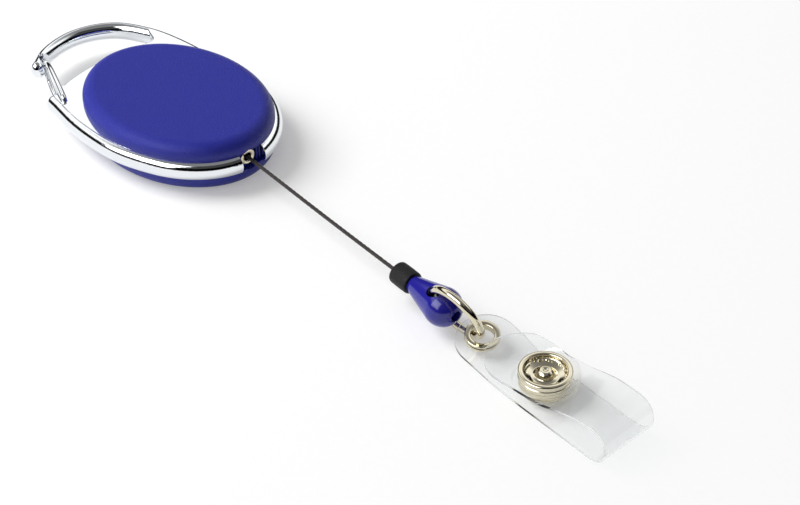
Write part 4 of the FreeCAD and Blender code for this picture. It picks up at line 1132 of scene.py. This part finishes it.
def make_floor(stage):
    """Pale paper floor, lifted towards white for what is seen and mirrored, so that it keeps its shadows."""
    radius = stage.floor_radius / MM
    around = 96
    angles = [2 * math.pi * k / around for k in range(around)]
    x, y, z = FLOOR_MIDDLE
    rim = [(x + radius * math.cos(a), y + radius * math.sin(a), z) for a in angles]
    floor = new_object("paper_floor", rim, [tuple(range(around))])
    material, tree = start_material("white_studio_paper")
    fibre = add_node(tree, "ShaderNodeTexNoise", {"Vector": object_coordinates(tree, 1.5), "Scale": 1.0})
    body = add_node(tree, "ShaderNodeMix", {0: fibre.outputs["Fac"], 6: (0.95, 0.95, 0.95, 1),
                                            7: (0.98, 0.98, 0.98, 1)}, data_type="RGBA")
    paper = add_node(tree, "ShaderNodeBsdfDiffuse", {"Color": body.outputs[2]})
    glow = add_node(tree, "ShaderNodeEmission", {"Color": (1, 1, 1, 1), "Strength": 1.0})
    path = add_node(tree, "ShaderNodeLightPath")
    seen = add_node(tree, "ShaderNodeMath", {0: path.outputs["Is Camera Ray"],
                                             1: path.outputs["Is Transmission Ray"]}, operation="MAXIMUM")
    also = add_node(tree, "ShaderNodeMath", {0: seen.outputs[0], 1: path.outputs["Is Glossy Ray"]},
                    operation="MAXIMUM")
    share = add_node(tree, "ShaderNodeMath", {0: also.outputs[0], 1: 0.3}, operation="MULTIPLY")
    both = add_node(tree, "ShaderNodeMixShader", {0: share.outputs[0], 1: paper.outputs[0],
                                                  2: glow.outputs[0]})
    add_node(tree, "ShaderNodeOutputMaterial", {"Surface": both.outputs[0]})
    set_material(floor, material)


# Places of the key light and the camera, and what they face, in metres.
KEY_PLACE, KEY_TARGET = (-0.92, -0.54, 1.04), (0.03, 0, 0)
VIEW_PLACE, VIEW_TARGET = (0.2458, -0.1715, 0.2055), (0.0647, 0.0055, 0.0)


def aim(holder, place, target):
    """Puts a light or camera at a place, facing a target."""
    holder.location = place
    holder.rotation_euler = (Vector(target) - Vector(place)).to_track_quat("-Z", "Y").to_euler()


def make_light(stage):
    """Large square light at the near left, which no glossy piece mirrors."""
    light = bpy.data.lights.new("key", "AREA")
    light.shape = "SQUARE"
    light.size = 0.9
    light.energy = stage.key_power
    holder = link_object("key", light)
    aim(holder, KEY_PLACE, KEY_TARGET)
    holder.visible_glossy = False
    holder.visible_camera = False
    holder.visible_transmission = False


def make_camera():
    """Camera above the near right of the strap, looking down along the cord at the reel."""
    data = bpy.data.cameras.new("view")
    data.lens = 71.9
    data.sensor_width = 36.0
    data.clip_start = 0.01
    data.clip_end = 10.0
    holder = link_object("view", data)
    aim(holder, VIEW_PLACE, VIEW_TARGET)
    bpy.context.scene.camera = holder


# ---------------------------------------------------------------- operators
class BADGEREEL_OT_stage(bpy.types.Operator):
    """Make the floor, the studio light and the camera"""
    bl_idname = "badge_reel.stage"
    bl_label = "Stage and Camera"

    def execute(self, context):
        stage = context.scene.badge_reel_stage
        context.scene.view_settings.view_transform = "Standard"
        make_world(stage)
        make_floor(stage)
        make_light(stage)
        make_camera()
        return {"FINISHED"}


class BADGEREEL_OT_covers(bpy.types.Operator):
    """Give the two covers their moulded finish"""
    bl_idname = "badge_reel.covers"
    bl_label = "Covers"

    def execute(self, context):
        for name in ("front_cover", "back_cover"):
            finish_node(name, finish_named("cover_plastic"))
        return {"FINISHED"}


class BADGEREEL_OT_hook(bpy.types.Operator):
    """Finish the chromed frame with its hook and make the wire gate"""
    bl_idname = "badge_reel.hook"
    bl_label = "Frame and Gate"

    def execute(self, context):
        finish_node("chrome_frame", finish_named("frame_chrome"))
        make_gate(context.scene.badge_reel_sizes)
        return {"FINISHED"}


class BADGEREEL_OT_mouth(bpy.types.Operator):
    """Make the guide block and the rolled eyelet of the mouth"""
    bl_idname = "badge_reel.mouth"
    bl_label = "Mouth"

    def execute(self, context):
        sizes = context.scene.badge_reel_sizes
        make_guide(sizes)
        make_eyelet(sizes)
        return {"FINISHED"}


class BADGEREEL_OT_inside(bpy.types.Operator):
    """Finish the spool, its axle and springs and the wound cord inside the covers"""
    bl_idname = "badge_reel.inside"
    bl_label = "Inside Pieces"

    def execute(self, context):
        finishes = {"spool": "spool_plastic", "spring_cover": "spool_plastic", "spool_axle": "steel",
                    "power_spring": "steel", "socket_spring": "steel", "cord_wound": "cord_braid",
                    "cord_inner_run": "cord_braid"}
        for name, finish in finishes.items():
            finish_node(name, finish_named(finish))
        return {"FINISHED"}


class BADGEREEL_OT_cord(bpy.types.Operator):
    """Make the braided cord, the rubber bumper, the bead and the knot"""
    bl_idname = "badge_reel.cord"
    bl_label = "Cord and Bead"

    def execute(self, context):
        sizes = context.scene.badge_reel_cord
        cord, line = make_cord(sizes)
        ring = context.scene.badge_reel_clip.ring_radius / MM
        on_cord = [make_bumper(sizes), make_knot(sizes), make_bead(sizes, ring)]
        return {"FINISHED"}


class BADGEREEL_OT_strap(bpy.types.Operator):
    """Make the jump ring, the clear strap and its grommet"""
    bl_idname = "badge_reel.strap"
    bl_label = "Ring and Strap"

    def execute(self, context):
        sizes = context.scene.badge_reel_clip
        make_ring(sizes)
        make_strap(sizes)
        make_grommet(sizes)
        return {"FINISHED"}


class BADGEREEL_OT_press_stud(bpy.types.Operator):
    """Make the press stud's cap, socket, ball and rivet"""
    bl_idname = "badge_reel.press_stud"
    bl_label = "Press Stud"

    def execute(self, context):
        make_press_stud(context.scene.badge_reel_clip)
        return {"FINISHED"}


class BADGEREEL_PT_panel(bpy.types.Panel):
    """Pieces, sizes and colours of the badge reel"""
    bl_idname = "BADGEREEL_PT_panel"
    bl_label = "Badge Reel"
    bl_space_type = "VIEW_3D"
    bl_region_type = "UI"
    bl_category = "Badge Reel"

    def draw(self, context):
        layout = self.layout
        for operator in OPERATORS:
            layout.operator(operator.bl_idname)
        for name in GROUPS:
            box = layout.box()
            box.label(text=name.replace("_", " ").capitalize())
            group = getattr(context.scene, name)
            for prop in group.__annotations__:
                box.prop(group, prop)


OPERATORS = (BADGEREEL_OT_stage, BADGEREEL_OT_covers, BADGEREEL_OT_hook, BADGEREEL_OT_mouth,
             BADGEREEL_OT_inside, BADGEREEL_OT_cord, BADGEREEL_OT_strap, BADGEREEL_OT_press_stud)
GROUPS = {"badge_reel_sizes": BadgeReelSizes, "badge_reel_cord": BadgeReelCordSizes,
          "badge_reel_clip": BadgeReelClipSizes, "badge_reel_colours": BadgeReelColours,
          "badge_reel_stage": BadgeReelStage}


def register():
    for name, group in GROUPS.items():
        bpy.utils.register_class(group)
        setattr(bpy.types.Scene, name, PointerProperty(type=group))
    for operator in OPERATORS:
        bpy.utils.register_class(operator)
    bpy.utils.register_class(BADGEREEL_PT_panel)


def unregister():
    bpy.utils.unregister_class(BADGEREEL_PT_panel)
    for operator in reversed(OPERATORS):
        bpy.utils.unregister_class(operator)
    for name, group in GROUPS.items():
        delattr(bpy.types.Scene, name)
        bpy.utils.unregister_class(group)


def main():
    register()
    bpy.ops.badge_reel.stage()
    bpy.ops.badge_reel.covers()
    bpy.ops.badge_reel.hook()
    bpy.ops.badge_reel.mouth()
    bpy.ops.badge_reel.inside()
    bpy.ops.badge_reel.cord()
    bpy.ops.badge_reel.strap()
    bpy.ops.badge_reel.press_stud()


if __name__ == "__main__":
    main()
